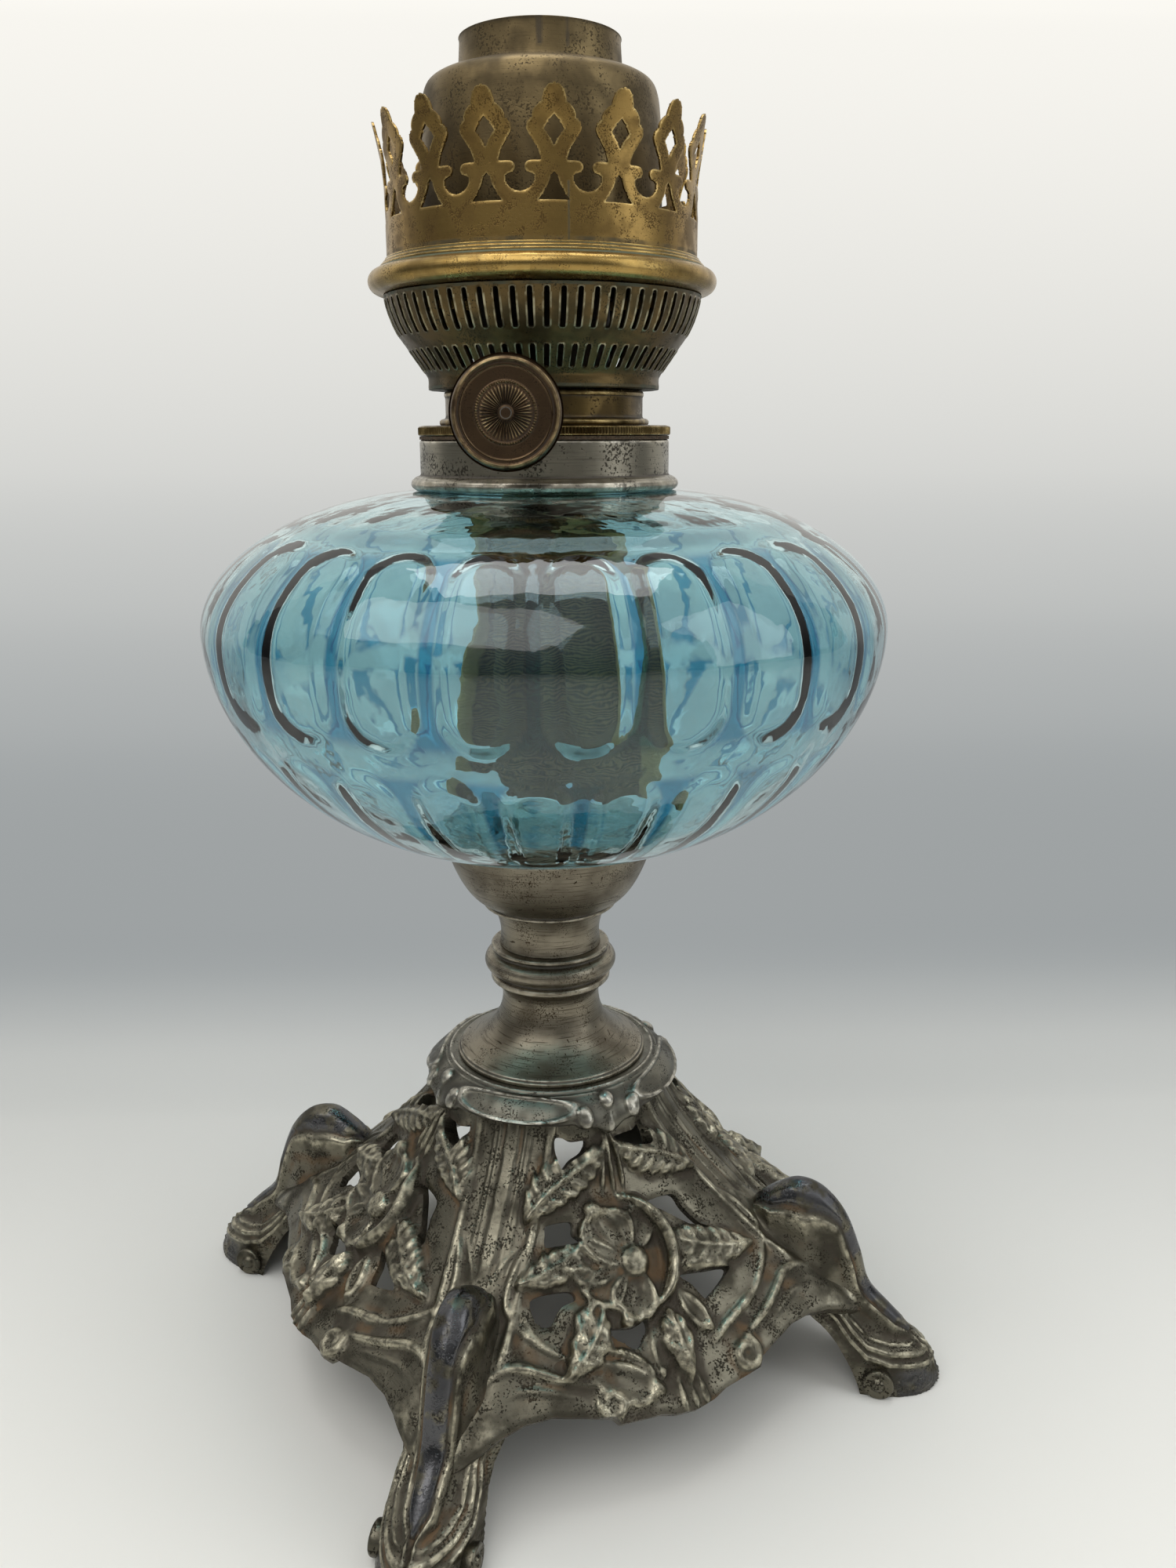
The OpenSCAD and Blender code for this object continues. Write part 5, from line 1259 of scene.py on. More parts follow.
@dataclass
class GlassFont:
    """The blown font: smooth outside, with scooped panels and flutes inside."""

    rim_z: float = 143.5
    middle_z: float = 199.7
    top_z: float = 231.9
    radius: float = 83.4
    foot_radius: float = 20.0
    neck_radius: float = 25.0
    neck_out: float = 28.1
    lift: float = 0.5
    wall: float = 3.2
    rib: float = 0.85
    panels: int = 24
    lower_power: float = 1.88
    upper_power: float = 1.96

    def line(self, cut: float, end_r: float, steps: int) -> np.ndarray:
        """The font's line from its flat foot to its neck.

        Args:
            cut: How far inside the outer line it runs.
            end_r: The radius at which it meets the neck.
            steps: How many points each half has.

        Returns:
            The points, as radius and height.
        """
        low = self.middle_z - self.rim_z - self.lift - cut
        w = np.linspace(-np.pi / 2, 0, steps)
        reach = self.radius - cut - self.foot_radius
        lower = np.stack([self.foot_radius + reach * np.cos(w) ** (2 / self.lower_power),
                          self.middle_z - low * np.abs(np.sin(w)) ** (2 / self.lower_power)], -1)
        v = np.linspace(0, math.radians(86.5), steps)[1:]
        reach = self.radius - cut - end_r
        upper = np.stack([end_r + reach * np.cos(v) ** (2 / self.upper_power),
                          self.middle_z + (self.top_z - self.middle_z - cut) * np.sin(v) ** (2 / self.upper_power)], -1)
        return np.vstack([lower, upper])

    def build(self) -> None:
        """Makes the font and dresses it."""
        outer = self.line(0.0, self.neck_radius, 60)
        outer = outer[(outer[:, 0] > self.neck_out + 0.6) | (outer[:, 1] < self.middle_z)]
        foot = self.rim_z + self.lift
        outer = np.vstack([[(0.001, foot), (9, foot)], outer,
                           [(self.neck_out, self.top_z), (self.neck_out, self.top_z + 4.4), (self.neck_radius + 1, self.top_z + 4.4)]])
        steps = 20 * self.panels
        angle = np.linspace(0, 2 * np.pi, steps, endpoint=False)[None, :]
        inner = self.line(self.wall, self.neck_radius, 76)
        outward = np.gradient(inner, axis=0)
        outward = np.stack([outward[:, 1], -outward[:, 0]], -1)
        outward /= np.maximum(np.linalg.norm(outward, axis=1, keepdims=True), 1e-6)
        z, r = inner[:, 1:], inner[:, :1]
        pitch = 2 * np.pi / self.panels
        off_panel = ((angle + math.radians(2.0 + 26.6 + 90)) % pitch - pitch / 2) * r
        off_flute = ((angle + math.radians(2.0 + 26.6 + 90) + pitch / 2) % pitch - pitch / 2) * r
        length = np.r_[0, np.cumsum(np.linalg.norm(np.diff(inner, axis=0), axis=1))][:, None]
        at = lambda level: float(np.interp(level, inner[:, 1], length[:, 0]))
        panel_low, panel_high = at(182.5), at(220.5)
        flute_low, flute_high = at(152.5), at(179.0)
        half = r * pitch / 2

        def scoop(off: np.ndarray, low: float, high: float, share: float) -> np.ndarray:
            """How deep inside a round-ended panel each place is, from 0 to 1."""
            w = half * share
            end = np.minimum(w, (high - low) / 2)
            past = np.maximum(np.abs(length - (low + high) / 2) - (high - low) / 2 + end, 0)
            far = np.hypot(np.maximum(np.abs(off) - (w - end), 0), past) - end
            return ease(-far / (0.46 * half))

        rise = np.minimum(np.abs(length - (panel_low + panel_high) / 2) / ((panel_high - panel_low) / 2),
                          np.abs(length - (flute_low + flute_high) / 2) / ((flute_high - flute_low) / 2))
        depth = np.maximum(scoop(off_panel, panel_low, panel_high, 0.95), 0.8 * scoop(off_flute, flute_low, flute_high, 0.92))
        band = ease((length - flute_low + 8) / 8) * ease((panel_high + 7 - length) / 7)
        thick = self.rib * band * (1 - depth)
        rr = r - outward[:, :1] * thick
        zz = z - outward[:, 1:] * thick
        # mask of the deep rib tint: narrow lines on the rib crests that fade at the rows' ends, partly glass thickness
        # and partly painted shade for the ribs' refraction lines
        rib_shade = band * ease(1 - depth * 4) * ease((1.04 - rise) / 0.24)
        rr_in = np.vstack([0 * angle + 0.001, 0 * angle + 9, rr, 0 * angle + self.neck_radius])
        zz_in = np.vstack([0 * angle + foot + self.wall, 0 * angle + foot + self.wall, zz, 0 * angle + self.top_z + 4.4])
        shade_in = np.vstack([0 * angle, 0 * angle, rib_shade, 0 * angle])
        rr_out = outer[:, :1] + 0 * angle
        zz_out = outer[:, 1:] + 0 * angle
        all_r, all_z = np.vstack([rr_out, rr_in[::-1]]), np.vstack([zz_out, zz_in[::-1]])
        shade = np.vstack([0 * rr_out, shade_in[::-1]])
        points = np.stack([all_r * np.cos(angle), all_r * np.sin(angle), all_z], -1).reshape(-1, 3)
        faces = grid_faces(len(all_r), steps, True, True).tolist()
        add_piece("glass_font_blown", Shape(points, faces, shade.ravel()), FONT_GLASS, "foot_and_font",
                  ("glass_font",), 60)


@dataclass
class Collar:
    """The plated collar on the glass neck, and the burner's washer."""

    foot_z: float = 231.92
    top_z: float = 243.5
    radius: float = 30.0
    bead: float = 2.4
    bore: float = 28.2

    def build(self) -> None:
        """Makes the collar and dresses what it holds."""
        f, r = self.foot_z, self.radius
        line = [(29.2, f), (r + self.bead - 1, f), (r + self.bead - 0.3, f + 0.5), (r + self.bead, f + 1.3),
                (r + self.bead - 0.3, f + 2.2), (r + self.bead - 1.2, f + 2.9), (r + 0.2, f + 3.3), (r, f + 3.6),
                (r, self.top_z - 0.5), (r - 0.4, self.top_z), (self.bore, self.top_z)]
        thread = []
        z = self.top_z - 0.6
        while z > self.foot_z + 6.4:
            thread += [(self.bore, z), (self.bore + 0.35, z - 0.45), (self.bore + 0.35, z - 0.75), (self.bore, z - 1.2)]
            z -= 1.8
        line += thread + [(self.bore, f + 5.4), (29.2, f + 4.9)]
        add_piece("font_collar_plated", turned(filleted(line, 0.2, 0.6), 180), COLLAR_PLATE, "foot_and_font",
                  ("font_collar",))
        dress("collar_cement", PLASTER)
        dress("cup_plaster", PLASTER)
        dress("sealing_washer", CORK)
        for node in ("tie_rod", "tie_washer", "tie_nut"):
            dress(node, STEEL)


# Burner


@dataclass
class BurnerBody:
    """The burner from its thread ring to the bezel that carries the crown."""

    ring_z: float = 244.3
    throat_z: float = 246.7
    basket_z: float = 254.5
    basket_top: float = 275.5
    crown_z: float = 283.5
    knurl_r: float = 30.3
    knurls: int = 240
    throat_r: float = 23.6
    slots: int = 64
    slot_w: float = 1.2
    sheet: float = 0.6

    def thread_ring(self) -> Shape:
        """The ring that is turned by hand, with its threaded sleeve."""
        low = self.ring_z - 6.4
        out = 28.12
        thread = []
        z = low + 0.5
        while z < self.ring_z - 1.5:
            thread += [(out, z), (out - 0.35, z + 0.45), (out - 0.35, z + 0.75), (out, z + 1.2)]
            z += 1.8
        line = [(22.0, self.throat_z - 1), (27.02, self.throat_z - 1), (27.02, low), (out, low)] + thread
        line += [(out, self.ring_z), (29.6, self.ring_z), (30.1, self.ring_z + 0.15), (self.knurl_r, self.ring_z + 0.4),
                 (self.knurl_r, self.throat_z - 0.5), (30.05, self.throat_z - 0.2), (29.3, self.throat_z), (22.0, self.throat_z)]
        profile = filleted(line, 0.15, 0.6)
        return turned(profile, self.knurls * 4, (self.knurls, 0.36, self.ring_z + 0.3, self.throat_z - 0.35))

    def throat(self) -> Shape:
        """The short tube on the ring, with a bead at its foot."""
        f, r = self.throat_z + 0.02, self.throat_r
        line = [(r - self.sheet, f), (r + 1.2, f), (r + 1.5, f + 0.4), (r + 1.5, f + 1.0), (r + 1.1, f + 1.4),
                (r + 0.2, f + 1.6), (r, f + 2.0), (r, self.basket_z - 1.4), (r + 0.25, self.basket_z - 1.1),
                (r + 0.25, self.basket_z - 0.5), (r, self.basket_z - 0.02), (r - self.sheet, self.basket_z - 0.02)]
        return turned(filleted(line, 0.2, 0.6), 144)

    def basket(self) -> Shape:
        """The bowl with its two rows of slots."""
        line = resampled(smooth_path([
            (22.4, 0.3), (26.9, 0.3), (27.4, 0.7), (27.4, 2.5), (27.7, 3.4), (29.4, 5.9), (32.0, 9.5), (34.6, 13.4),
            (36.1, 17.0), (37.2, 21.0)], 8), 112)
        length = np.r_[0, np.cumsum(np.linalg.norm(np.diff(line, axis=0), axis=1))]
        columns = 14 * self.slots
        pitch = 2 * np.pi / self.slots
        angle = (np.arange(columns) + 0.5) * 2 * np.pi / columns + 0 * length[:, None]
        along = length[:, None] + 0 * angle
        radius_at = lambda at: np.interp(at, length, line[:, 0])
        height_at = lambda at: np.interp(at, length, line[:, 1])
        level = lambda z: float(np.interp(z, line[:, 1], length))
        gap = np.full(angle.shape, 1e9)
        cell = 0.26
        for low, high in ((level(4.3), level(9.0)), (level(12.1), level(20.1))):
            off = (angle % pitch - pitch / 2) * radius_at(along)
            spine = np.clip(along, low + self.slot_w / 2, high - self.slot_w / 2)
            far = np.hypot(off, along - spine)
            snap = np.abs(far - self.slot_w / 2) < 0.55 * cell
            scale = np.where(snap, self.slot_w / 2 / np.maximum(far, 1e-6), 1.0)
            new_off, new_along = off * scale, spine + (along - spine) * scale
            angle = angle + (new_off - off) / radius_at(along)
            along = new_along
            gap = np.minimum(gap, np.where(snap, 0.0, far - self.slot_w / 2))
        r, z = radius_at(along), height_at(along)
        slope = np.gradient(line, axis=0)
        slope /= np.linalg.norm(slope, axis=1, keepdims=True)
        n_r, n_z = np.interp(along, length, slope[:, 1]), np.interp(along, length, -slope[:, 0])
        proud = 0.12 * np.exp(-((gap / 0.25) ** 2))
        hammered = 0.03 * np.sin(angle * 23 + z) * np.sin(z * 2.1)

        def skin(out: np.ndarray | float) -> np.ndarray:
            """The points of one side of the sheet."""
            rr, zz = r + n_r * out, z + n_z * out + self.basket_z
            return np.stack([rr * np.cos(angle), rr * np.sin(angle), zz], -1).reshape(-1, 3)

        cells = grid_faces(len(length), columns, False, True)
        solid = gap.ravel()[cells].mean(1) > 0
        relief = np.where(gap < 0.3, 0.7, 0.0) - 0.7 * (z < 1.0) - 0.6 * (z > 20.3)
        return with_back(skin(proud + hammered), skin(-self.sheet), cells[solid], relief.ravel())

    def bezel(self) -> Shape:
        """The rolled bead with the stepped moulding above it."""
        b = self.basket_top
        bead = [(38.2 + 2.4 * math.cos(w), b + 3.1 + 2.5 * math.sin(w)) for w in np.radians(np.linspace(-80, 84, 17))]
        line = [(36.6, b + 0.1), (37.6, b + 0.35)] + bead
        line += [(37.9, b + 5.75), (37.7, b + 6.0), (37.7, b + 6.5), (37.3, b + 6.7), (37.05, b + 6.75), (37.05, b + 7.2),
                 (36.7, b + 7.45), (36.5, b + 7.55), (36.5, b + 7.98), (35.4, b + 7.98), (35.4, b + 4.3), (36.6, b + 2.5)]
        return turned(filleted(line, 0.16, 0.5), 200)

    def build(self) -> None:
        """Makes the burner's body and dresses its inner pieces."""
        add_piece("thread_ring_knurled", self.thread_ring(), BURNER_BRASS, "burner", ("knurled_ring",), 60)
        add_piece("throat_tube", self.throat(), BURNER_BRASS, "burner", ("burner_throat",))
        add_piece("basket_pierced", self.basket(), BASKET_BRASS, "burner", ("draught_basket",))
        add_piece("bezel_rolled", self.bezel(), BEZEL_BRASS, "burner", ("bezel_ring",))
        dress("shaft_sleeve", BURNER_BRASS)
        for node in ("tube_plate", "chimney_seat", "outer_wick_tube", "inner_draught_tube"):
            dress(node, SOOTED_BRASS)


@dataclass
class GalleryCrown:
    """The pierced crown: a plain band under sixteen fleurs whose tips bend outward."""

    foot_z: float = 283.5
    band: float = 9.5
    fleur: float = 19.5
    radius: float = 36.0
    fleurs: int = 16
    flare: float = 2.3
    wall: float = 0.6
    columns: int = 50
    rows: int = 104
    seam: float = -107.7

    def outlines(self) -> list[np.ndarray]:
        """What is cut from the sheet, as distances from a fleur's middle and heights above the band."""
        half = math.pi * self.radius / self.fleurs
        side = [(0, -0.1), (1.2, 0.1), (2.1, 0.6), (2.8, 1.5), (3.07, 2.5), (2.6, 3.2), (1.9, 3.4), (1.2, 3.9),
                (1.0, 4.6), (1.4, 5.3), (2.1, 5.6), (3.2, 5.65), (4.35, 5.7), (4.2, 6.6), (3.6, 8.0), (2.7, 9.4),
                (1.9, 10.6), (1.5, 11.6), (1.75, 12.5), (2.4, 13.2), (2.75, 13.4), (2.75, 14.1), (3.2, 15.0),
                (4.1, 15.9), (4.6, 16.2), (4.75, 17.0), (5.2, 18.2), (6.0, 19.2), (6.9, 19.6), (6.9, 22)]
        right_gap = [(half - x, y) for x, y in side] + [(half + x, y) for x, y in side[::-1]][:-1]
        left_gap = [(x - 2 * half, y) for x, y in right_gap]
        diamond = [(0, 8.4), (0.8, 9.7), (2.05, 11.3), (1.2, 12.7), (0, 14.0), (-1.2, 12.7), (-2.05, 11.3), (-0.8, 9.7)]
        keyhole = [(-3.3, -1.8), (0, -1.75), (3.3, -1.8), (2.3, -0.5), (1.3, 1.1), (0.7, 2.8), (0, 3.6), (-0.7, 2.8),
                   (-1.3, 1.1), (-2.3, -0.5)]
        return [smooth_path(right_gap, 3, True), smooth_path(left_gap, 3, True), np.array(diamond), np.array(keyhole)]

    def build(self) -> None:
        """Makes the crown and dresses it."""
        half = math.pi * self.radius / self.fleurs
        total = self.band + self.fleur
        x = np.linspace(-half, half, self.columns + 1)[None, :-1] + np.zeros((self.rows, 1))
        y = np.linspace(0.02, total, self.rows)[:, None] + 0 * x
        gap = np.full(x.shape, 1e9)
        for outline in self.outlines():
            far, near_x, near_y = outline_distance(x, y - self.band, outline)
            snap = (np.abs(far) < 0.17) & (near_y + self.band < total) & (np.abs(x) < half - 0.01)
            x, y = np.where(snap, near_x, x), np.where(snap, near_y + self.band, y)
            gap = np.minimum(gap, np.where(snap, 0.0, far))
        u = (y - self.band) / 19.5
        flare = self.flare * np.clip((u - 0.22) / 0.78, 0, 1) ** 1.7
        angle = np.concatenate([x / self.radius + 2 * np.pi * k / self.fleurs for k in range(self.fleurs)], 1)
        r = np.concatenate([self.radius + flare] * self.fleurs, 1)
        z = np.concatenate([y] * self.fleurs, 1) + self.foot_z
        r = r + 0.12 * np.sin(angle * 3 + 1) * ease((z - self.foot_z - self.band) / 8)
        whole = np.concatenate([gap] * self.fleurs, 1)
        rim = 0.1 * np.exp(-np.maximum(whole, 0) / 0.2)

        def skin(out: np.ndarray | float) -> np.ndarray:
            """The points of one side of the sheet."""
            rr = r + out
            return np.stack([rr * np.cos(angle), rr * np.sin(angle), z], -1).reshape(-1, 3)

        cells = grid_faces(self.rows, self.columns * self.fleurs, False, True)
        solid = whole.ravel()[cells].mean(1) > 0
        relief = np.where(whole < 0.28, 0.8, 0.0) - 0.7 * ease((self.foot_z + 1.4 - z) / 1.2)
        off_seam = np.abs((angle - math.radians(self.seam) + np.pi) % (2 * np.pi) - np.pi) * self.radius
        relief = np.where((off_seam < 0.3) & (z < self.foot_z + self.band + 2), -1.0, relief)
        add_piece("crown_pierced", with_back(skin(-rim), skin(-self.wall), cells[solid], relief.ravel()), CROWN_BRASS,
                  "burner", ("gallery_crown",))


@dataclass
class AirDeflector:
    """The spun dome with its open neck."""

    seat_z: float = 280.86
    radius: float = 27.7
    dome_h: float = 41.0
    mouth_r: float = 18.1
    mouth_h: float = 8.0
    sheet: float = 0.6
    cracks: tuple[float, float] = (-117.0, -98.5)

    def build(self) -> None:
        """Makes the dome, with the two hairline cracks in its neck, and dresses it."""
        h, m, r = self.dome_h, self.mouth_r, self.radius
        outer = smooth_path([
            (r, 0.7), (r, 9), (r, 17), (r - 0.2, 27), (r - 0.6, 33.5), (r - 1.1, 37), (r - 2.0, 39.2), (r - 3.6, 40.4),
            (r - 5.6, 40.95), (m + 2.2, h), (m + 1.2, h + 0.15), (m + 0.7, h + 0.7), (m + 0.4, h + 2),
            (m + 0.05, h + self.mouth_h - 1.0), (m + 0.2, h + self.mouth_h)], 5)
        along = np.gradient(outer, axis=0)
        along /= np.linalg.norm(along, axis=1, keepdims=True)
        inner = outer + np.stack([-along[:, 1], along[:, 0]], -1) * self.sheet
        inner[0], inner[-1] = outer[0] - (self.sheet, 0), outer[-1] - (self.sheet, 0)
        flange = [(r - self.sheet, 0.05), (r + 1.8, 0.05), (r + 1.8, 0.65), (r + 0.3, 0.7)]
        line = flange + [tuple(q) for q in outer] + [tuple(q) for q in inner[::-1]]
        profile = filleted([(a, b + self.seat_z) for a, b in line], 0.15, 0.8)
        shape = turned(profile, 180)
        turn = np.degrees(np.arctan2(shape.points[:, 1], shape.points[:, 0]))
        for crack in self.cracks:
            near = (np.abs(turn - crack) < 1.1) & (shape.points[:, 2] > self.seat_z + h + 2)
            shape.relief[near] = -1.0
        add_piece("dome_spun", shape, DOME_BRASS, "burner", ("air_deflector",))


@dataclass
class WickWinder:
    """The knob on its shaft."""

    turn: float = -118.5
    offset: float = 6.5
    shaft_z: float = 249.0
    reach: float = 43.0
    radius: float = 12.0
    bore: float = 1.29

    def build(self) -> None:
        """Makes the knob and dresses what turns with it."""
        columns, rows = 288, 84
        share = np.linspace(1, 0.015, rows)[:, None]
        angle = np.linspace(0, 2 * np.pi, columns, endpoint=False)[None, :]
        flutes = 0.5 - 0.5 * np.cos(angle * 44)
        face = 1.55 + 0 * angle
        face = face + 0.55 * np.exp(-(((share - 0.9) / 0.045) ** 2)) + 0.18 * np.exp(-(((share - 0.8) / 0.015) ** 2))
        face = face + (0.34 + 0.16 * np.cos(angle * 72)) * np.exp(-(((share - 0.52) / 0.02) ** 2))
        face = face - 0.26 * flutes * ease((share - 0.12) / 0.05) * ease((0.47 - share) / 0.03)
        face = face + 0.35 * np.sqrt(np.clip(1 - (share / 0.13) ** 2, 0, 1)) + 0.25 * ease((0.48 - share) / 0.05)
        face = face + 0.05 * np.cos(share * 190) * ease((share - 0.78) / 0.03)
        drop = 1.9 * ease((share - 0.93) / 0.07) ** 1.6
        relief = np.clip((face - blurred(face, 3)) * 4, -1, 1)
        relief[:8] += 0.5
        back = [(self.bore, -0.6), (self.bore, -3.0), (2.6, -3.0), (2.6, 0.0), (3.2, 0.6), (10.8, 0.1), (11.6, 0.15), (12.0, 0.5)]
        back_r = np.array([[r] for r, _ in back]) + 0 * angle
        back_z = np.array([[z] for _, z in back]) + 0 * angle
        shape = capped(np.vstack([back_r, self.radius * share + 0 * angle]), np.vstack([back_z, face - drop]),
                       (-0.6, float(face[-1].mean())), np.vstack([0 * back_r, relief]))
        seat = (Matrix.Rotation(math.radians(self.turn), 4, "Z") @ Matrix.Translation((self.reach, -self.offset, self.shaft_z))
                @ Matrix.Rotation(math.pi / 2, 4, "Y"))
        add_piece("knob_pressed", shape.moved(seat), KNOB_BRASS, "winder", ("wick_knob",))
        for node in ("knob_shaft", "feed_wheels", "shaft_collar"):
            dress(node, STEEL)


@dataclass
class Wick:
    """The woven band: a ring in its tube that opens into a folded tail in the font."""

    middle_r: float = 13.6
    thickness: float = 2.3
    top_z: float = 327.46
    curl_z: float = 232.5
    fold_z: float = 223.5
    open_z: float = 211.5
    tail_z: float = 156.4
    duct_top: float = 269.5
    turn: float = 33.4
    folds: float = 2.5
    fold_top: float = 86.0
    fold_low: float = 62.0

    def line(self, z: float, steps: int) -> tuple[np.ndarray, np.ndarray]:
        """Draws the band's middle line at one height.

        Args:
            z: The height.
            steps: How many stretches the line has.

        Returns:
            The points, as outward and sideways, and the direction of the band's face at each, in radians.
        """
        opened = float(ease((self.curl_z - z) / (self.curl_z - self.open_z)))
        folded = float(ease((self.curl_z - z) / (self.curl_z - self.fold_z)))
        low = float(ease((self.open_z - z) / (self.open_z - self.tail_z)))
        gap = 13 - 10 * float(ease((z - self.duct_top) / 14))

        def facing(u: np.ndarray) -> np.ndarray:
            """Which way the band faces at shares across it."""
            fold = self.fold_top + (self.fold_low - self.fold_top) * low
            return np.radians((1 - opened) * u * (180 - gap) + folded * fold * np.sin(np.radians(180 * self.folds * u + 50 * low)))

        half = self.middle_r * math.radians(180 - gap)
        step = 2 * half / steps
        w = facing((2 * np.arange(steps) + 1) / steps - 1)
        path = np.vstack([[0, 0], np.cumsum(np.stack([-np.sin(w), np.cos(w)], -1) * step, 0)])
        path = path - path[steps // 2] + (self.middle_r, 0)
        path[:, 0] -= opened * path[:, 0].mean()
        return path, facing(2 * np.arange(steps + 1) / steps - 1)

    def build(self) -> None:
        """Makes the wick and dresses it."""
        steps, rows = 96, 130
        c, s = math.cos(math.radians(self.turn)), math.sin(math.radians(self.turn))
        points, relief = [], []
        for z in np.linspace(self.top_z, self.tail_z, rows):
            path, facing = self.line(float(z), steps)
            across = np.abs(2 * np.arange(steps + 1) / steps - 1)
            thick = self.thickness / 2 * np.sqrt(np.clip(1 - np.clip((across - 0.95) / 0.05, 0, 1) ** 2 * 0.8, 0, 1)) * 0.97
            out = np.stack([np.cos(facing), np.sin(facing)], -1) * thick[:, None]
            loop = np.vstack([path + out, (path - out)[::-1]])
            points.append(np.stack([loop[:, 0] * c - loop[:, 1] * s, loop[:, 0] * s + loop[:, 1] * c, 0 * loop[:, 0] + z], -1))
            edge = ease((across - 0.84) / 0.1)
            relief.append(np.r_[edge, edge[::-1]])
        cols = 2 * (steps + 1)
        faces = grid_faces(rows, cols, False, True)[:, ::-1].tolist()
        for start in (0, (rows - 1) * cols):
            ends = [[start + j, start + j + 1, start + cols - 2 - j, start + cols - 1 - j] for j in range(steps)]
            faces += [e[::-1] for e in ends] if start else ends
        piece = add_piece("wick_woven", Shape(np.vstack(points), faces, np.concatenate(relief)), WICK_COTTON, "wick_band",
                          ("wick",), 60)


# Studio


class Ray(Enum):
    """The kinds of light ray that see the painted backdrop."""

    CAMERA = "Is Camera Ray"
    GLOSSY = "Is Glossy Ray"
    TRANSMISSION = "Is Transmission Ray"


@dataclass(frozen=True)
class Backdrop(Finish):
    """Pale paper that sweeps up behind the lamp; its grey gradient, darkest about 0.3 m along the paper behind the lamp
    and palest high on the wall, is painted light and shade.
    """

    name: str
    turn: float

    def draw(self, tree: Tree) -> bpy.types.NodeSocket:
        """Paints light and shade onto the paper by its distance behind the lamp and its height.

        Args:
            tree: The material's tree.

        Returns:
            The shader.
        """
        flat = tree.add("VectorRotate", {"Vector": tree.place(), "Angle": -self.turn}, rotation_type="Z_AXIS").outputs[0]
        split = tree.add("SeparateXYZ", {0: flat}).outputs
        path = tree.maths("ADD", split["Y"], tree.maths("MULTIPLY", split["Z"], 1.0))
        share = tree.maths("DIVIDE", tree.maths("ADD", path, 0.3), 2.1, clamp=True)
        # painted light and shade: screen levels of the backdrop's gradient, keyed by millimetres along the paper, with
        # a painted shadow zone about 0.3 m behind the lamp
        painted_shade_levels = {-90: 231, 110: 204, 175: 190, 240: 168, 320: 162, 700: 170, 1030: 187, 1290: 213, 1740: 246}
        ramp = tree.add("ValToRGB", {"Fac": share})
        band = ramp.color_ramp
        band.interpolation = "CARDINAL"
        while len(band.elements) < len(painted_shade_levels):
            band.elements.new(0.5)
        for element, (at, level) in zip(band.elements, sorted(painted_shade_levels.items())):
            element.position = (at + 300) / 2100
            pale = max(0, level - 165) / 80
            element.color = colour(level - 4 + 6 * pale, level, level + 1 - 7 * pale)
        painted = tree.add("Emission", {"Color": ramp.outputs[0], "Strength": 1.0}).outputs[0]
        lit = tree.add("BsdfDiffuse", {"Color": ramp.outputs[0]}).outputs[0]
        rays = tree.add("LightPath").outputs
        seen = tree.maths("MAXIMUM", rays[Ray.CAMERA.value], tree.maths("MAXIMUM", rays[Ray.GLOSSY.value], rays[Ray.TRANSMISSION.value]))
        # near the lamp the paper is lit and keeps its real shadow; further back, camera, glossy and transmission rays
        # see the painted light and shade as emission
        far = tree.maths("MULTIPLY", seen, tree.span(path, 0.13, 0.3))
        return tree.add("MixShader", {0: far, 1: lit, 2: painted}).outputs[0]


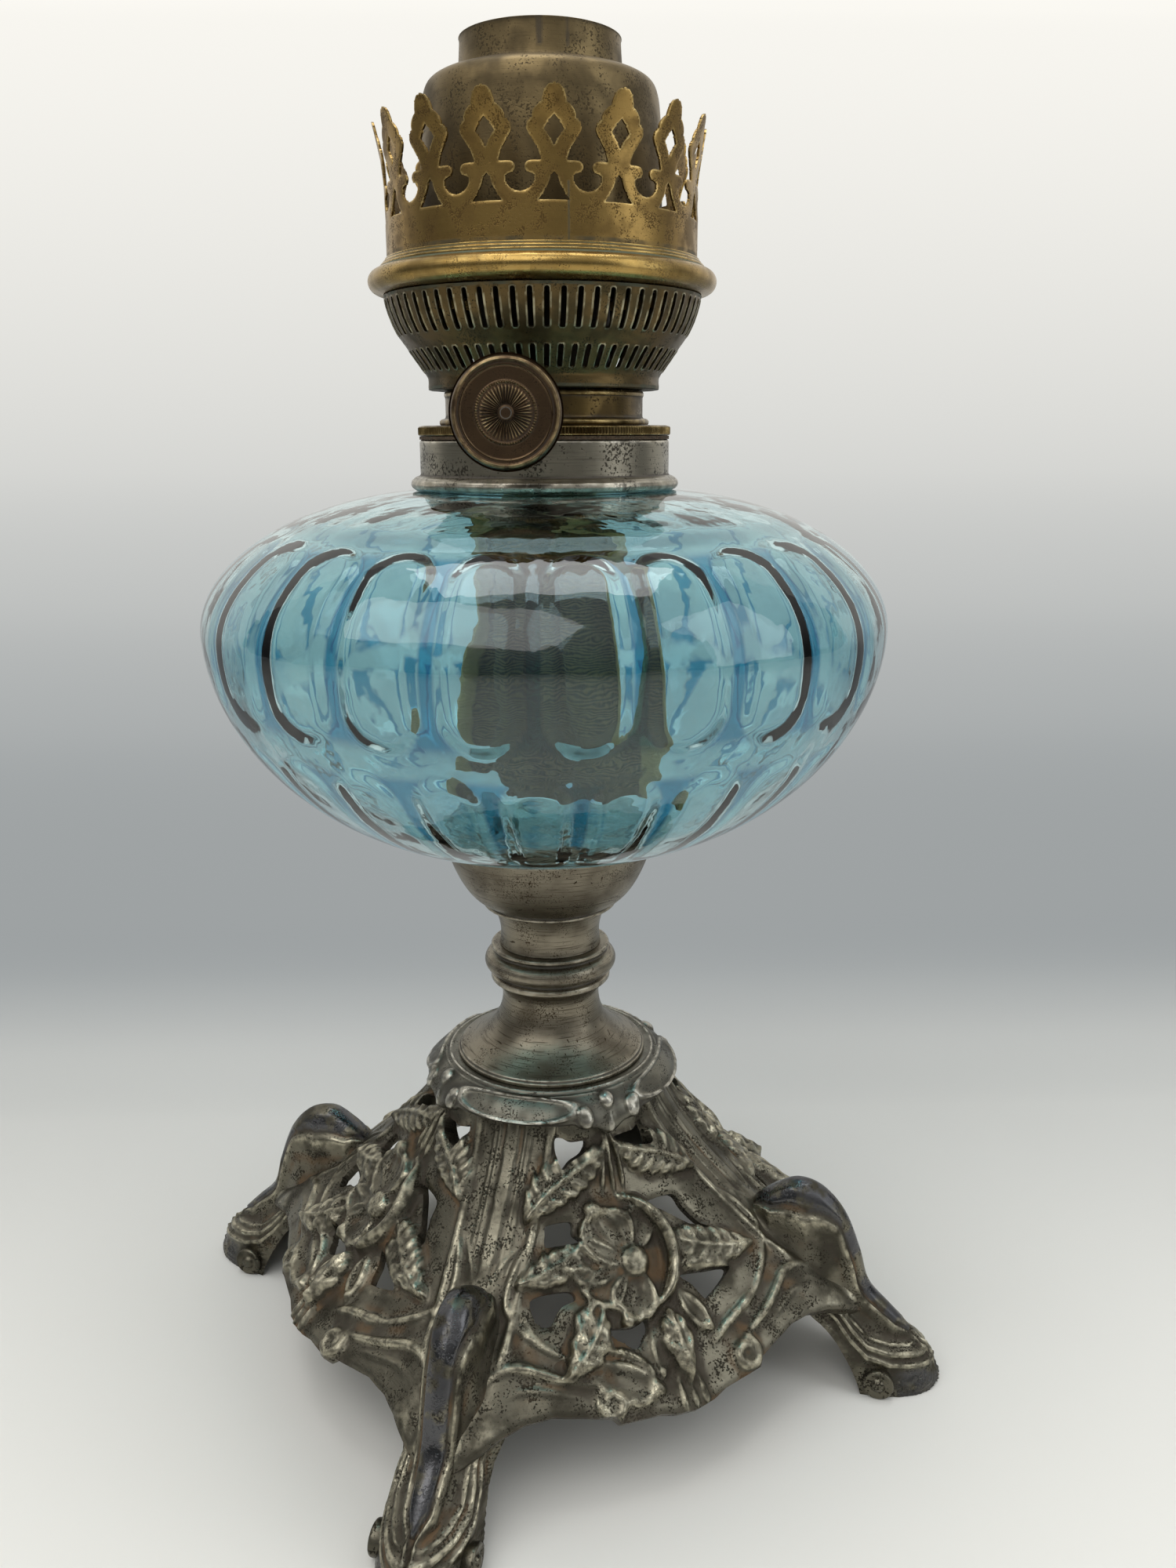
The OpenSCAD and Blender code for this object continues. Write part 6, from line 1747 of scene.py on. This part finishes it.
@dataclass
class Studio:
    """The floor and backdrop, the lamps and the camera."""

    turn: float = math.radians(-26.6)
    behind: float = 1.0
    width: float = 6.0

    def backdrop(self) -> None:
        """Lays the paper: a floor that sweeps up into a wall behind the lamp."""
        line = [(-4.0, 0.0), (-1.0, 0.0), (0.0, 0.0), (self.behind - 0.2, 0.0)]
        line += [(self.behind - 0.2 + 0.3 * math.sin(w), 0.3 - 0.3 * math.cos(w)) for w in np.linspace(0.1, math.pi / 2, 12)]
        line += [(self.behind + 0.1, 0.8), (self.behind + 0.1, 2.5)]
        points = [(x, y, z) for y, z in line for x in (-self.width / 2, self.width / 2)]
        faces = [(2 * i, 2 * i + 1, 2 * i + 3, 2 * i + 2) for i in range(len(line) - 1)]
        mesh = bpy.data.meshes.new("backdrop")
        mesh.from_pydata(points, [], faces)
        mesh.transform(Matrix.Rotation(self.turn, 4, "Z"))
        mesh.shade_smooth()
        mesh.materials.append(Backdrop("backdrop_paper", self.turn).material())
        floor = bpy.data.objects.new("backdrop", mesh)
        bpy.context.scene.collection.objects.link(floor)

    def light(self, name: str, place: tuple, size: tuple, watts: float, tint: tuple) -> None:
        """Hangs a soft lamp that faces the object.

        Args:
            name: The lamp's name.
            place: Where it hangs, in metres, seen from the camera's side.
            size: Its width and height, in metres.
            watts: Its power.
            tint: Its colour.
        """
        data = bpy.data.lights.new(name, "AREA")
        data.shape, data.size, data.size_y = "RECTANGLE", size[0], size[1]
        data.energy, data.color = watts, tint
        lamp = bpy.data.objects.new(name, data)
        bpy.context.scene.collection.objects.link(lamp)
        spot = Matrix.Rotation(self.turn, 4, "Z") @ Matrix.Translation(place)
        aim = (spot.translation - Matrix.Translation((0, 0, 0.17)).translation).to_track_quat("Z", "Y")
        lamp.matrix_world = Matrix.Translation(spot.translation) @ aim.to_matrix().to_4x4()

    def world(self) -> None:
        """Gives the room a pale light that is brightest overhead."""
        world = bpy.data.worlds.new("room")
        bpy.context.scene.world = world
        world.use_nodes = True
        tree = Tree(world.node_tree)
        up = tree.add("SeparateXYZ", {0: tree.add("TexCoord").outputs["Generated"]}).outputs["Z"]
        shade = tree.blend(tree.span(up, 0.0, 0.9), colour(104, 108, 110), colour(245, 245, 243))
        rays = tree.add("LightPath").outputs
        seen = tree.maths("MAXIMUM", rays[Ray.CAMERA.value], rays[Ray.TRANSMISSION.value])
        shade = tree.blend(seen, shade, colour(224, 226, 225))
        back = tree.add("Background", {"Color": shade, "Strength": 0.7}).outputs[0]
        tree.add("OutputWorld", {"Surface": back})

    def camera(self) -> None:
        """Sets the camera where the photograph was taken."""
        data = bpy.data.cameras.new("camera")
        data.sensor_width = 36.0
        data.lens = 36.0 * 1644 / 2000
        data.clip_start, data.clip_end = 0.01, 20
        camera = bpy.data.objects.new("camera", data)
        bpy.context.scene.collection.objects.link(camera)
        camera.matrix_world = (Matrix.Rotation(self.turn, 4, "Z") @ Matrix.Translation((0, -0.3227, 0.2446))
                               @ Matrix.Rotation(math.radians(-1.82), 4, "Z") @ Matrix.Rotation(math.radians(90 - 15.17), 4, "X")
                               @ Matrix.Rotation(math.radians(-0.17), 4, "Z"))
        bpy.context.scene.camera = camera

    def build(self) -> None:
        """Sets up the whole studio."""
        bpy.context.scene.view_settings.view_transform = "Standard"
        self.backdrop()
        self.world()
        self.light("window_front", (-0.45, -0.62, 1.1), (1.4, 0.8), 6.5, (1.0, 0.99, 0.97))
        self.light("window_right", (0.8, -0.35, 0.6), (0.5, 0.9), 2.2, (0.95, 0.98, 1.0))
        self.light("ceiling", (0.0, 0.1, 1.3), (0.9, 0.5), 5.0, (1.0, 1.0, 1.0))
        self.camera()


def main() -> None:
    """Builds the studio and the lamp."""
    logging.basicConfig(level=logging.INFO, format="%(name)s: %(message)s")
    for part in (Studio(), FootCasting(), CapRing(), Stem(), GlassFont(), Collar(), BurnerBody(), GalleryCrown(),
                 AirDeflector(), WickWinder(), Wick()):
        part.build()
        log.info("%s done", type(part).__name__)


if __name__ == "__main__":
    main()
